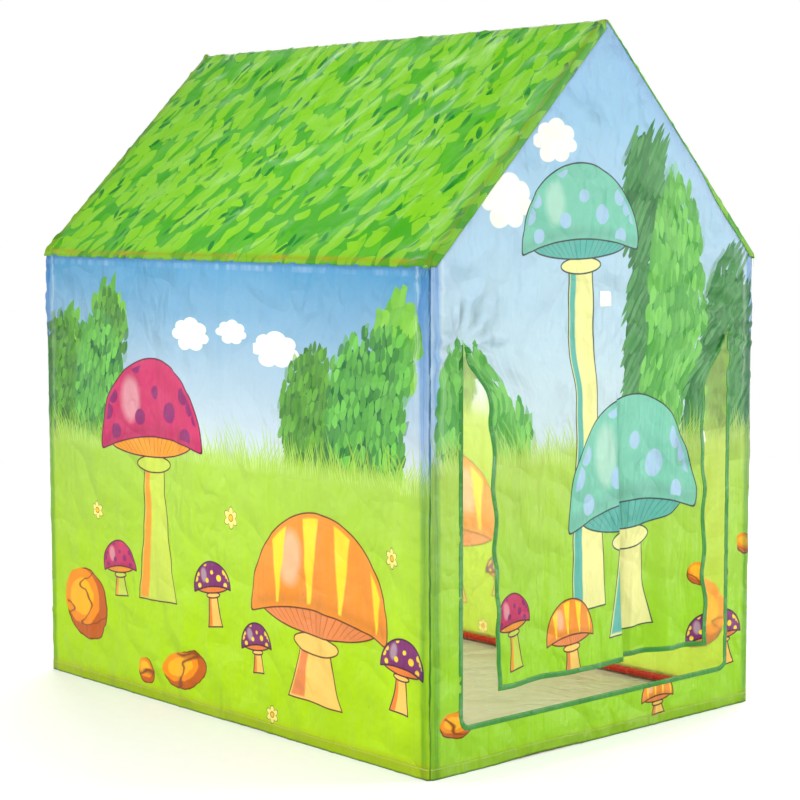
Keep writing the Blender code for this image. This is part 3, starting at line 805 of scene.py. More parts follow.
def side_picture(point):
    """Seen from outside, x runs from a side wall's left end and z from its foot."""
    _, height = point.parts()
    picture = sky(point, HORIZON, 0.70, dye(212, 222, 234), dye(86, 162, 210))
    row = (
        (0.462, 0.412, 0.589, 0.050, 0.028),
        (0.556, 0.512, 0.597, 0.035, 0.020),
        (1.0, 0.610, 0.575, 0.054, 0.029),
    )
    picture = clouds(picture, point, row)
    rear_bushes = ((0.05, 0.49, 0.075, 0.12), (0.185, 0.58, 0.048, 0.07), (0.70, 0.47, 0.08, 0.115))
    front_bushes = ((0.155, 0.48, 0.075, 0.135), (0.815, 0.475, 0.088, 0.14), (0.865, 0.56, 0.045, 0.060))
    olive, moss = (dye(54, 116, 50), dye(112, 180, 66)), (dye(30, 112, 58), dye(124, 206, 90))
    crowns = ((0.190, 0.620, 0.050, 0.046), (0.075, 0.580, 0.040, 0.035), (0.885, 0.595, 0.046, 0.072))
    picture = foliage(picture, point, crowns, (0.036, 0.019), 1.2, 2.6, dye(74, 158, 60), dye(150, 214, 84))
    picture = foliage(picture, point, rear_bushes, (0.021, 0.012), 1.3, 2.2, *olive)
    picture = foliage(picture, point, front_bushes, (0.023, 0.013), 1.3, 2.2, *moss)
    picture = meadow(picture, point, HORIZON, 0.075, dye(176, 212, 82), dye(184, 224, 0))
    row = (
        (0.22, 0.115, 0.135, 0.056, 0.060, -0.3),
        (0.316, 0.285, 0.050, 0.022, 0.020, 0.0),
        (1.0, 0.392, 0.070, 0.056, 0.030, -0.3),
    )
    picture = stones(picture, point, row)
    row = (
        (0.48, 0.300, 0.425, 0.135, 1.95, MAGENTA, 0.05, 0.0),
        (1.0, 0.705, 0.205, 0.155, 0.90, CORAL, -0.03, 1.0),
    )
    picture = toadstools(picture, point, row)
    row = (
        (0.30, 0.205, 0.205, 0.045, 1.1, MAGENTA, 0.10, 0.0),
        (0.51, 0.455, 0.205, 0.042, 1.5, PLUM, 0.14, 0.0),
        (0.70, 0.560, 0.130, 0.036, 1.2, PLUM, 0.12, 0.0),
        (1.0, 0.890, 0.150, 0.044, 1.5, PLUM, -0.12, 0.0),
    )
    picture = toadstools(picture, point, row)
    row = (
        (0.36, 0.15, 0.290, 0.015),
        (0.55, 0.50, 0.315, 0.017),
        (0.72, 0.60, 0.030, 0.014),
        (1.0, 0.87, 0.300, 0.015),
    )
    picture = daisies(picture, point, row, dye(250, 236, 150))
    dash = point.grain(60.0, 12.0)
    # Painted shade where the eave tube behind the cloth shows through.
    picture = painted_shade_band(picture, height, EAVE_HEIGHT, 0.005, dye(50, 104, 176), 0.45)
    under = band(height, EAVE_HEIGHT - 0.010, 0.004, 0.003)
    picture = picture.painted(dye(150, 190, 226), under * (dash - 0.45).at_least(0.0) * 3.0)
    return frame_shading(picture, point, WALL_LENGTH, 0.4)


def side_lift(side, run, z):
    near = WALL_LENGTH / 2 - abs(run)
    seams = [(near, z), (z, run), (EAVE_HEIGHT - z, run)]
    pulls = sum(fan(run, z, (end * half_length, EAVE_HEIGHT), *SIDE_FAN) for end in (-1, 1))
    stand = corner_stand(side, math.copysign(1, run), z, near)
    return ripple(run, z, seams, SIDE_SEED + side, pulls) * smooth(near / CORNER_CALM) + stand


def side_place(side):
    """Where a side wall's cloth hangs, from the distance to its middle and the height."""

    def place(run, z):
        along, out = round_post(run, half_length, side_lift(side, run, z))
        return side * (half_width + out), along, z + hem_rise(run, z, side)

    return place


def on_print(middle, way):
    """Where the same point is on the print, which runs from the wall's left end as seen from outside."""
    return lambda run, z: (middle + way * run, z)


side_print = print_group("Side print", side_picture)
wall_print, wall_back = [
    cloth_material(f"side print {face}", side_print, fade=fade) for face, fade in FACES.items()
]
wall_columns = stations(
    (-WALL_LENGTH / 2, -half_length, half_length, WALL_LENGTH / 2), (BEND_PITCH, CLOTH_PITCH, BEND_PITCH)
)
wall_rows = stations((0, SIDE_FOOT, EAVE_HEIGHT), (FOOT_PITCH, CLOTH_PITCH))
for side_name, side in (("left", -1), ("right", 1)):
    place, flat = side_place(side), on_print(WALL_LENGTH / 2, side)
    grid = lay_out(wall_columns, wall_rows)
    wall = sew(grid, f"{side_name}_wall_cloth", place, wall_print, wall_back, flat=flat)
    dress(wall, f"wall_{side_name}")
    walls[side_name] = place, flat, WALL_LENGTH / 2, wall_print
    sheets[wall] = {
        "flat": (WALL_LENGTH, EAVE_HEIGHT), "held": "stretched",
        "rests_on": [f"eave_tube_{side_name}_front", f"eave_tube_{side_name}_rear"],
    }


# End walls: the same print taffeta, cut as house-shaped gables and sewn up both corners and along the rakes.
# The front one has the doorway cut out of it. The print runs on over the flaps, which are cut from it.
HUB_ROUND = 0.0083
BINDING_WIDTH, BINDING_THICKNESS = 0.008, 0.0014
DOOR_ROUND = 0.012
END_CREASES, RAKE_CALM = 1.35, 0.020
SLIT_FAN, EAVE_FAN = (0.060, 11, 0.0050), (0.075, 9, 0.0034)
FRONT_SEED, REAR_SEED = 40, 60
CUT_SLACK, CORNER_FOUND = 0.00001, 0.0005
END_MIDDLE = half_width + corner_run
RIDGE_HEIGHT = cad_box[1].z - POST_ROUND
RAKE_SUM = RIDGE_HEIGHT + HUB_ROUND * math.sqrt(2)
door_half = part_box("door_binding")[1].x - BINDING_WIDTH
door_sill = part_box("door_binding")[0].z + BINDING_WIDTH
door_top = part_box("door_flap_left")[1].z
door_cut = door_half + BINDING_WIDTH / 2
sill_cut = door_sill - BINDING_WIDTH / 2


def rake_distance(x, z):
    return (RAKE_SUM - abs(x) - z) / math.sqrt(2)


def calmed(lift, x, z):
    """Lets a gable's folds die out at its corner posts and under the roof's edge."""
    return lift * smooth((END_MIDDLE - abs(x)) / CORNER_CALM) * smooth(rake_distance(x, z) / RAKE_CALM)


def front_lift(x, z):
    """How far the front cloth stands out of flat, over the gable and on down the tops of the flaps."""
    corner = END_MIDDLE - abs(x)
    beside = abs(max(abs(x) - door_half, door_sill - z))
    if z > door_top:
        beside = math.hypot(abs(x) - door_half, z - door_top)
    seams = [(corner, z), (max(0, z), x), (max(0, rake_distance(x, z)), x), (beside, z)]
    pulls = sum(fan(x, z, (side * door_half, door_top), *SLIT_FAN) for side in (-1, 1))
    pulls += sum(fan(x, z, (side * half_width, EAVE_HEIGHT), *EAVE_FAN) for side in (-1, 1))
    stand = corner_stand(math.copysign(1, x), -1, z, corner)
    return calmed(ripple(x, z, seams, FRONT_SEED, pulls), x, z) + stand


def rear_lift(x, z):
    corner = END_MIDDLE - abs(x)
    seams = [(corner, z), (z, x), (max(0, rake_distance(x, z)), x)]
    stand = corner_stand(math.copysign(1, x), 1, z, corner)
    return calmed(ripple(x, z, seams, REAR_SEED), x, z) + stand


def front_picture(point):
    """Seen from outside, x runs from the wall's left end and z from its foot."""
    picture = sky(point, 0.40, 0.95, dye(212, 228, 238), dye(164, 206, 242))
    row = ((0.190, 0.143, 0.790, 0.050, 0.042), (1.0, 0.238, 0.875, 0.044, 0.034))
    picture = clouds(picture, point, row)
    palms = ((0.432, 0.800, 0.050, 0.110), (0.425, 0.600, 0.036, 0.150), (0.630, 0.540, 0.070, 0.175))
    column = ((0.503, 0.600, 0.068, 0.235), (0.060, 0.50, 0.050, 0.10), (0.110, 0.455, 0.055, 0.06))
    picture = foliage(picture, point, palms, (0.056, 0.010), 1.0, 2.4, dye(52, 122, 66), dye(104, 172, 108))
    picture = foliage(picture, point, column, (0.030, 0.014), 1.5, 1.5, dye(72, 160, 70), dye(140, 214, 110))
    picture = meadow(picture, point, 0.43, 0.070, dye(184, 216, 98), dye(166, 220, 40))
    row = (
        (0.20, 0.058, 0.078, 0.034, 0.019, 0.0),
        (0.65, 0.618, 0.225, 0.022, 0.017, 0.4),
        (1.0, 0.680, 0.262, 0.018, 0.015, 0.2),
    )
    picture = stones(picture, point, row)
    picture = toadstools(picture, point, ((1.0, 0.292, 0.740, 0.118, 4.6, TEAL, 0.02, 0.0),))
    picture = toadstools(picture, point, ((1.0, 0.425, 0.350, 0.175, 1.15, TEAL, 0.04, 0.0),))
    row = (
        (0.16, 0.105, 0.200, 0.046, 1.5, MAGENTA, 0.10, 0.0),
        (0.32, 0.252, 0.165, 0.058, 1.2, CORAL, 0.08, 1.0),
        (0.54, 0.470, 0.045, 0.036, 0.8, CORAL, 0.05, 1.0),
        (1.0, 0.625, 0.120, 0.040, 1.3, PLUM, 0.12, 0.0),
    )
    picture = toadstools(picture, point, row)
    return frame_shading(picture, point, 2 * END_MIDDLE, 0.2)


def rear_picture(point):
    """Seen from outside, x runs from the wall's left end and z from its foot."""
    picture = sky(point, 0.38, 0.95, dye(216, 236, 236), dye(150, 204, 236))
    row = (
        (0.28, 0.205, 0.780, 0.050, 0.036),
        (0.44, 0.352, 0.880, 0.042, 0.030),
        (1.0, 0.515, 0.720, 0.052, 0.036),
    )
    picture = clouds(picture, point, row)
    bushes = ((0.075, 0.50, 0.085, 0.15), (0.170, 0.44, 0.060, 0.09), (0.610, 0.49, 0.090, 0.16))
    picture = foliage(picture, point, bushes, (0.032, 0.013), 1.5, 1.4, dye(46, 128, 60), dye(118, 196, 88))
    picture = meadow(picture, point, 0.40, 0.070, dye(172, 222, 104), dye(150, 216, 46))
    row = (
        (0.33, 0.250, 0.075, 0.046, 0.028, 0.2),
        (0.60, 0.455, 0.050, 0.030, 0.018, 0.0),
        (1.0, 0.640, 0.090, 0.030, 0.030, 0.0),
    )
    picture = stones(picture, point, row)
    row = (
        (0.238, 0.135, 0.240, 0.095, 1.2, MAGENTA, 0.05, 0.0),
        (1.0, 0.395, 0.330, 0.150, 1.35, TEAL, 6.24, 0.0),
    )
    picture = toadstools(picture, point, row)
    row = (
        (0.30, 0.240, 0.150, 0.036, 1.2, PLUM, 0.12, 0.0),
        (1.0, 0.575, 0.165, 0.060, 1.3, CORAL, 6.2, 1.0),
    )
    picture = toadstools(picture, point, row)
    row = ((0.20, 0.06, 0.09, 0.014), (0.42, 0.33, 0.21, 0.014), (1.0, 0.50, 0.24, 0.015))
    return frame_shading(daisies(picture, point, row, dye(252, 214, 224)), point, 2 * END_MIDDLE, 0.2)


def end_cloth(door):
    """The flat gable: its grid, cut along the rakes and above the corners, and at the doorway."""
    across = stations(
        (-END_MIDDLE, -half_width, -door_cut, door_cut, half_width, END_MIDDLE),
        (BEND_PITCH, CLOTH_PITCH, CLOTH_PITCH, CLOTH_PITCH, BEND_PITCH),
    )
    up = stations(
        (0, END_FOOT, sill_cut, door_top, EAVE_HEIGHT, RIDGE_HEIGHT + HUB_ROUND),
        (FOOT_PITCH, *[CLOTH_PITCH] * 4),
    )
    bm = lay_out(across, up)
    for side in (-1, 1):
        parts = bm.verts[:] + bm.edges[:] + bm.faces[:]
        rake = {"plane_co": (0, RAKE_SUM, 0), "plane_no": (side, 1, 0), "clear_outer": True}
        bmesh.ops.bisect_plane(bm, geom=parts, dist=CUT_SLACK, **rake)
    middles = {face: face.calc_center_median() for face in bm.faces}
    gone = [f for f, m in middles.items() if abs(m.x) > half_width and m.y > EAVE_HEIGHT]
    if door:
        gone += [f for f, m in middles.items() if abs(m.x) < door_cut and sill_cut < m.y < door_top]
    bmesh.ops.delete(bm, geom=gone, context="FACES")
    bevel = (BINDING_WIDTH / 2 + DOOR_ROUND) * (1 - math.sqrt(0.5))
    for vert in bm.verts:
        if door and math.hypot(abs(vert.co.x) - door_cut, vert.co.y - sill_cut) < CORNER_FOUND:
            vert.co.x -= math.copysign(bevel, vert.co.x)
            vert.co.y += bevel
    return bm


def end_place(side, lift):
    """Where an end wall's cloth hangs."""

    def place(run, z):
        along, out = round_post(run, half_width, lift(run, z))
        return along, side * (half_length + out), z + hem_rise(run, z, side * 3)

    return place


end_pictures = {
    "front": print_group("Front print", front_picture),
    "rear": print_group("Rear print", rear_picture),
}
end_prints = {
    (name, face): cloth_material(f"{name} print {face}", picture, fade=fade, creased=END_CREASES)
    for name, picture in end_pictures.items()
    for face, fade in FACES.items()
}
for end_name, side, lift in (("front", -1, front_lift), ("rear", 1, rear_lift)):
    place, flat = end_place(side, lift), on_print(END_MIDDLE, -side)
    grid = end_cloth(door=end_name == "front")
    cut_area = sum(face.calc_area() for face in grid.faces)
    faces = [end_prints[end_name, face] for face in FACES]
    wall = sew(grid, f"{end_name}_wall_cloth", place, *faces, flat=flat)
    dress(wall, f"wall_{end_name}")
    walls[end_name] = place, flat, END_MIDDLE, faces[0]
    sheets[wall] = {
        "flat": (2 * END_MIDDLE, RIDGE_HEIGHT + HUB_ROUND), "held": "stretched", "area": cut_area,
        "rests_on": [f"rafter_left_{end_name}", f"rafter_right_{end_name}"],
    }


# Roof: one green leaf-print cloth over both slopes, sewn to the walls at the eaves and turned down a
# little over the gables. The ridge and eave tubes hold it up, and it sags between them.
ROOF_SAG, ROOF_DEEPEST, EAVE_CALM = 0.0035, -0.008, 0.01
ROOF_CREASES, ROOF_GLOSS = 0.3, 0.2
ROOF_FAN, ROOF_SEED = (0.035, 9, 0.0050), 80
RIDGE_ARC = POST_ROUND * math.pi / 2
EAVE_ARC = POST_ROUND * math.pi / 4
SLOPE = half_width * math.sqrt(2)
ROOF_WIDTH = 2 * (EAVE_ARC + SLOPE) + RIDGE_ARC
ROOF_REACH = cad_box[1].y
ROOF_CORNERS = [(u, v) for u in (0, 2 * ROOF_REACH) for v in (0, ROOF_WIDTH)]


def leaf_layer(below, point, cell, shift, swing, plump, low, high, shown, rim=None):
    """One layer of leaves in two tones, each with a thin darker rim where one is given."""
    leaves = leaf(point, (*cell, 1), (*shift, 0), swing, plump)
    tone = leaves.other("Tone")
    shown = tone.over(1.0 - shown) if isinstance(shown, float) else tone.over(0.4) * shown
    if rim:
        below = below.painted(rim, leaves * shown)
        leaves = (leaves * 4.0 - 3.0).at_least(0.0)
    return below.painted(tone.between(low, high), leaves * shown)


def roof_picture(point):
    """u runs along the ridge from the front, v over the roof from the left eave."""
    u, v = point.parts()
    soft = point.noise(9.0, 3.0)
    slant = turned(point, 1.30)
    clusters = (point.noise(16.0, 1.0) * 8.0 - 3.9).clamped()
    picture = soft.between(dye(58, 160, 26), dye(88, 184, 30))
    rim, leafy = dye(74, 166, 26), (dye(122, 194, 28), dye(140, 206, 36))
    layers = (
        ((0.052, 0.036), (0, 0), 1.1, 0.50, dye(76, 172, 28), dye(96, 188, 30), 0.6),
        ((0.058, 0.031), (0.02, 0.01), 1.0, 0.46, *leafy, 0.62, rim),
        ((0.046, 0.027), (0.01, 0.03), 1.5, 0.48, *leafy, 0.48, rim),
        ((0.028, 0.024), (0.03, 0.02), 1.8, 0.20, dye(0, 124, 36), dye(14, 140, 40), clusters),
        ((0.026, 0.026), (0.04, 0.05), 3.0, 0.70, *leafy, 0.18),
    )
    for layer in layers:
        picture = leaf_layer(picture, slant, *layer)
    middle = abs(v - ROOF_WIDTH / 2)
    patchy = (point.noise(26.0, 3.0) * 3.0 - 1.0).at_least(0.15).at_most(1.0)
    # Painted shade and tint, patchy, where the eave tubes behind the cloth show through.
    eave = band(middle, ROOF_WIDTH / 2 - 0.007, 0.004, 0.006)
    picture = picture.painted(dye(196, 180, 20), eave * patchy * 0.85)
    # Painted shade lines where the ridge tube and the rafters near each end show through the cloth.
    picture = painted_shade_band(picture, middle, 0.0, 0.004, dye(150, 110, 40), 0.5)
    return painted_shade_band(picture, abs(u - ROOF_REACH), ROOF_REACH - 0.006, 0.004, dye(150, 140, 40), 0.35)


def roof_section(v, lift):
    """The place of v on the roof's section, x and z, and the way out of it."""
    side = -1 if v < ROOF_WIDTH / 2 else 1
    run = min(v, ROOF_WIDTH - v)
    if run < EAVE_ARC:
        turn, x, z = run / POST_ROUND, half_width, RIDGE_HEIGHT - half_width
    elif run < EAVE_ARC + SLOPE:
        turn = math.pi / 4
        x = half_width - (run - EAVE_ARC) / math.sqrt(2)
        z = RIDGE_HEIGHT - x
    else:
        turn, x, z = (run - SLOPE) / POST_ROUND, 0.0, RIDGE_HEIGHT
    reach = POST_ROUND + lift
    return side * (x + reach * math.cos(turn)), z + reach * math.sin(turn)


def roof_lift(u, v):
    run, end = min(v, ROOF_WIDTH - v), min(u, 2 * ROOF_REACH - u)
    sag = ROOF_SAG
    for share in ((run - EAVE_ARC) / SLOPE, u / (2 * ROOF_REACH)):
        sag *= math.sin(math.pi * min(1, max(0, share)))
    seams = [(end, v), (run, u), (abs(v - ROOF_WIDTH / 2), u)]
    pulls = sum(fan(u, v, corner, *ROOF_FAN) for corner in ROOF_CORNERS)
    return ripple(u, v, seams, ROOF_SEED, pulls - sag, ROOF_DEEPEST) * smooth(run / EAVE_CALM)


def roof_place(u, v):
    x, z = roof_section(v, roof_lift(u, v))
    return x, u - ROOF_REACH, z


roof_print = print_group("Roof print", roof_picture)
roof_front, roof_back = [
    cloth_material(f"roof print {face}", roof_print, fade=fade, creased=ROOF_CREASES, gloss=ROOF_GLOSS)
    for face, fade in FACES.items()
]
roof_grid = lay_out(
    stations((0, 2 * ROOF_REACH), (CLOTH_PITCH,)),
    stations(
        (0, EAVE_ARC, EAVE_ARC + SLOPE, EAVE_ARC + SLOPE + RIDGE_ARC, ROOF_WIDTH - EAVE_ARC, ROOF_WIDTH),
        (BEND_PITCH, CLOTH_PITCH, BEND_PITCH, CLOTH_PITCH, BEND_PITCH),
    ),
)
roof = sew(roof_grid, "roof_cloth", roof_place, roof_front, roof_back)
dress(roof, "roof_cover")
sheets[roof] = {
    "flat": (2 * ROOF_REACH, ROOF_WIDTH), "held": "stretched",
    "rests_on": ["ridge_tube_front", "ridge_tube_rear"],
}


# Door flaps: two curtains of the same print taffeta, sewn along the doorway's top and hanging in folds.
# Their outer edges are drawn in from the doorway's sides, and they meet at a slit off the middle.
FLAP_DROP = door_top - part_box("door_flap_left")[0].z
FLAP_SIDE_GAP, DRAW_HEIGHT_SHARE = 0.002, 0.20
EDGE_WAVE, EDGE_CALM, HEM_WAVE = 0.0075, 0.08, 0.0020
SOFT_FOLD, FINE_FOLD = (0.0030, 30, 5), (0.0008, 75, 12)
FLAP_STIFF, FLAP_BEND = 0.05, 0.06
FLAP_COLUMNS, FLAP_ROWS = 60, 88
SLIT_GAP, SLIT_TOP_SHIFT, SLIT_FOOT_SHIFT = 0.0003, 0.024, 0.058
DRAPE = {
    "left": {"side": -1, "draw_in": 0.045, "taper": 0.022, "depth": 0.008, "folds": 1.5, "recess": 0.002},
    "right": {"side": 1, "draw_in": 0.055, "taper": -0.015, "depth": 0.010, "folds": 2.5, "recess": 0.030},
}
FLAP_WIDTH = door_half - FLAP_SIDE_GAP


def flap_edges(flap, share):
    """Where a flap's outer edge and its slit edge are, at a share of the way down."""
    drape = DRAPE[flap]
    inset = FLAP_SIDE_GAP + drape["draw_in"] * smooth(share / DRAW_HEIGHT_SHARE) + drape["taper"] * share
    inset += EDGE_WAVE * swell(share * 11, drape["side"] * 4, 73) * smooth(share / EDGE_CALM)
    slit = SLIT_TOP_SHIFT + (SLIT_FOOT_SHIFT - SLIT_TOP_SHIFT) * share + drape["side"] * SLIT_GAP / 2
    return drape["side"] * (door_half - inset), slit


def flap_point(flap, across, down, behind=0.0):
    """A point of a flap's outer face, so far in from its outer edge and so far down."""
    drape = DRAPE[flap]
    outer, slit = flap_edges(flap, down / FLAP_DROP)
    share = across / abs(slit - outer)
    fall = smooth(down / FLAP_DROP)
    fold = drape["depth"] * (1 - math.cos(math.tau * drape["folds"] * share)) / 2
    x = outer - drape["side"] * across
    hang = smooth(down / FLAP_STIFF)
    soft = wave(x, down, SOFT_FOLD, 70) + wave(x, down, FINE_FOLD, 71)
    back = fall * (fold + drape["recess"] * smooth(share)) + behind + soft * hang
    lift = front_lift(x, door_top - down) * (1 - hang)
    hem = HEM_WAVE * fall * swell(x * 14, 4, 72)
    return Vector((x, -half_length - POST_ROUND - lift + back, door_top - down + hem))


def flap_flat(flap):
    """The same for the print, which runs on from the wall beside the doorway."""

    def flat(share, drop):
        _, slit = flap_edges(flap, drop)
        start = DRAPE[flap]["side"] * door_half
        return END_MIDDLE + start + (slit - start) * share, door_top - drop * FLAP_DROP

    return flat


def swing_with(piece):
    """Bakes the placement of a flap's piece into its mesh, as it hangs from the wall at its top seam."""
    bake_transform(piece)


def flap_place(flap):
    """Where a flap's cloth hangs, from its share of the way across and down."""

    def place(share, drop):
        outer, slit = flap_edges(flap, drop)
        return flap_point(flap, share * abs(slit - outer), drop * FLAP_DROP)

    return place


for flap in DRAPE:
    grid = lay_out(stations((0, 1), (1 / FLAP_COLUMNS,)), stations((0, 1), (1 / FLAP_ROWS,)))
    faces = [end_prints["front", face] for face in FACES]
    curtain = sew(grid, f"{flap}_flap_cloth", flap_place(flap), *faces, flat=flap_flat(flap))
    swing_with(curtain)
    dress(curtain, f"door_flap_{flap}", body=None)
    sheets[curtain] = {"flat": (FLAP_WIDTH, FLAP_DROP), "held": "hung", "rests_on": ["wall_front"]}


# Seams, hems and rake strips: the walls' ends are sewn together up each corner, the bottom edge is turned up
# over the base tubes, the roof is sewn on along the eaves, and its ends are turned down over the gables.
SEAM_WIDTH, SEAM_PROUD, SEAM_PITCH = 0.0032, 0.0016, 0.0035
SEAM_WAVE, SEAM_SUNK, SEAM_START = 0.0006, 0.0002, 0.0005
EAVE_WAVE, EAVE_DROP, SEAM_PRINT = 0.0005, 0.0006, 0.0018
HEM_HEIGHT, HEM_PROUD = 0.016, 0.0012
HEM_LIFT, HEM_INSET, HEM_STEP = 0.0006, 0.001, 0.001
# By end and side, the strip's width at the eave and at the ridge.
RAKE_WIDTHS = {
    (-1, -1): (0.012, 0.012),
    (-1, 1): (0.009, 0.0018),
    (1, -1): (0.006, 0.006),
    (1, 1): (0.008, 0.004),
}
RAKE_NARROWS, RAKE_NARROWING = 0.25, 0.15
TAPE_SIDES, TAPE_SQUARE, TAPE_MERGE = 12, 0.5, 0.000005
UPRIGHT = Vector((0, 0, 1))


def shaped(wave):
    """Squares a sine or cosine off, so that a tape's section is nearly a rectangle."""
    return math.copysign(abs(wave) ** TAPE_SQUARE, wave)


def tape(name, frames, paint, on, own=False):
    """A closed strip of cloth carried along frames, each one its middle, half its width and half its
    thickness as vectors, and then its middle and half its width on the flat print. It is sewn on a sheet."""
    first, last = ((f[0], f[1] * 0, f[2] * 0, f[3], f[4] * 0) for f in (frames[0], frames[-1]))
    frames = [first, *frames, last]
    steps = len(frames) - 1
    bm = bmesh.new()
    bmesh.ops.create_grid(bm, x_segments=steps, y_segments=TAPE_SIDES, size=0.5)
    cut = bm.loops.layers.uv.new(CUT_MAP)
    for vert in bm.verts:
        turn = (vert.co.y + 0.5) * math.tau
        middle, wide, thick, print_middle, print_wide = frames[round((vert.co.x + 0.5) * steps)]
        vert.co = middle + wide * shaped(math.cos(turn)) + thick * shaped(math.sin(turn))
        for loop in vert.link_loops:
            loop[cut].uv = print_middle + print_wide * shaped(math.cos(turn))
    bmesh.ops.remove_doubles(bm, verts=bm.verts, dist=TAPE_MERGE)
    bmesh.ops.recalc_face_normals(bm, faces=bm.faces)
    for face in bm.faces:
        face.smooth = True
    made = linked(bm, name)
    made.data.materials.append(paint)
    if own:
        length = sum((b[0] - a[0]).length for a, b in zip(frames, frames[1:]))
    else:
        trims.setdefault(on, []).append(made)
    return made


def seam_shade_picture(point):
    """The wall's print darkened by painted shade down in the fold of the seam, with painted highlights where
    light catches it here and there.
    """
    streak = point.grain(400.0, 14.0, 4.0)
    printed = side_print(point)
    # Painted shade in the fold, and painted highlight where the streaks bring the print back.
    fold_shade = printed.vector("MULTIPLY", (0.05, 0.22, 0.34))
    return fold_shade.painted(printed, (streak - 0.5).at_least(0.0) * 4.0)


seam_shade_print = cloth_material("corner seam print", seam_shade_picture, glow=0.1)
for wall_name, side in (("left", -1), ("right", 1)):
    for end_name, end in (("front", -1), ("rear", 1)):
        out = Vector((side, end, 0)).normalized()
        tangent = Vector((side, -end, 0)).normalized()
        axis = Vector((side * half_width, end * half_length, 0))
        wide, thick = tangent * SEAM_WIDTH / 2, out * SEAM_PROUD / 2
        run = WALL_LENGTH / 2 + side * end * WALL_LENGTH / 2
        frames = []
        for z in stations((SEAM_START, EAVE_HEIGHT), (SEAM_PITCH,)):
            wobble = swell(z * 60, side * 3, end * 5) * SEAM_WAVE
            stand = POST_ROUND + corner_stand(side, end, z, 0) - SEAM_SUNK
            middle = axis + out * stand + tangent * wobble + UPRIGHT * z
            frames.append((middle, wide, thick, Vector((run, z)), Vector((SEAM_PRINT, 0))))
        seam = tape(f"corner_seam_{wall_name}_{end_name}", frames, seam_shade_print, f"{wall_name}_wall_cloth")
        dress(seam)


def hem(name, place, flat, middle, paint):
    """The folded bottom edge of a wall, from corner to corner, standing out over its face."""
    frames = []
    z, reach = HEM_HEIGHT / 2 + HEM_LIFT, middle - HEM_INSET
    stops = (-reach, -reach + 2 * corner_run, reach - 2 * corner_run, reach)
    for run in stations(stops, (BEND_PITCH, SEAM_PITCH, BEND_PITCH)):
        ahead, behind = (Vector(place(run + step, z)) for step in (HEM_STEP, -HEM_STEP))
        out = (ahead - behind).cross(UPRIGHT).normalized()
        spot = Vector(place(run, z))
        out *= math.copysign(1, out.dot(spot - UPRIGHT * z))
        wide, thick = UPRIGHT * HEM_HEIGHT / 2, out * HEM_PROUD / 2
        frames.append((spot + thick / 2, wide, thick, Vector(flat(run, z)), Vector((0, HEM_HEIGHT / 2))))
    dress(tape(f"hem_{name}", frames, paint, f"{name}_wall_cloth"))
    return frames


hems = [hem(name, *facts) for name, facts in walls.items()]
for side_name, side in (("left", -1), ("right", 1)):
    wide, thick = UPRIGHT * SEAM_WIDTH / 2, Vector((side * SEAM_PROUD / 2, 0, 0))
    v = 0.0 if side < 0 else ROOF_WIDTH
    frames = []
    for u in stations((SEAM_START, 2 * ROOF_REACH - SEAM_START), (SEAM_PITCH,)):
        z = RIDGE_HEIGHT - half_width - EAVE_DROP + swell(u * 50, side, 12) * EAVE_WAVE
        middle = Vector((side * (half_width + POST_ROUND), u - ROOF_REACH, z))
        frames.append((middle, wide, thick, Vector((u, v)), Vector((0, SEAM_PRINT))))
    dress(tape(f"eave_seam_{side_name}", frames, roof_front, "roof_cloth"))

strips = []
for (end, side), (foot_width, top_width) in RAKE_WIDTHS.items():
    lift = front_lift if end < 0 else rear_lift
    frames = []
    stops = (0, EAVE_ARC, EAVE_ARC + SLOPE, EAVE_ARC + SLOPE + RIDGE_ARC / 2)
    for run in stations(stops, (BEND_PITCH, SEAM_PITCH, BEND_PITCH)):
        v = run if side < 0 else ROOF_WIDTH - run
        narrow = smooth((run / SLOPE - RAKE_NARROWS) / RAKE_NARROWING)
        width = foot_width + (top_width - foot_width) * narrow
        edge_lift = roof_lift(0.0 if end < 0 else 2 * ROOF_REACH, v)
        outer, inner = (Vector(roof_section(v, reach)) for reach in (edge_lift, -width))
        middle = (outer + inner) / 2
        stand = end * max(0, lift(*middle), lift(*inner)) / 2
        wide = Vector((outer.x - inner.x, -2 * stand, outer.y - inner.y)) / 2
        thick = Vector((0, end * HEM_PROUD / 2, 0))
        place = Vector((middle.x, end * (half_length + POST_ROUND) + stand, middle.y)) + thick
        u = -width / 2 if end < 0 else 2 * ROOF_REACH + width / 2
        frames.append((place, wide, thick, Vector((u, v)), Vector((-end * width / 2, 0))))
    end_name, side_name = ("front" if end < 0 else "rear"), ("left" if side < 0 else "right")
    dress(tape(f"rake_strip_{side_name}_{end_name}", frames, roof_front, "roof_cloth"))
    strips.append(frames)


# Green edge tape: a woven bias tape folded over the raw edge and sewn through. One piece runs down, along
# and up the doorway, and each flap has its own down the outer edge and along the hem.
RIB_PITCH, ARC_STEP = 0.0012, 0.0625
TAPE_START, TAPE_TURN = 0.003, 0.001


def tape_picture(point):
    across, _ = point.parts()
    worn = point.noise(25.0, 4.0)
    ribs = (across * (math.tau / RIB_PITCH)).node("Math", None, operation="SINE")
    green = worn.between(dye(24, 112, 34), dye(62, 156, 44))
    return green.painted(dye(16, 88, 30), ribs.at_least(0.0) * 0.4)


green_tape = cloth_material("green tape", tape_picture, glow=0.12)


def run_along(steps):
    """Frames of a tape from each one's middle, half width, half thickness and half its width on the print."""
    frames, length = [], 0.0
    for middle, wide, thick, half in steps:
        length += (middle - frames[-1][0]).length if frames else 0.0
        frames.append((middle, wide, thick, Vector((length, 0)), Vector((0, half))))
    return frames


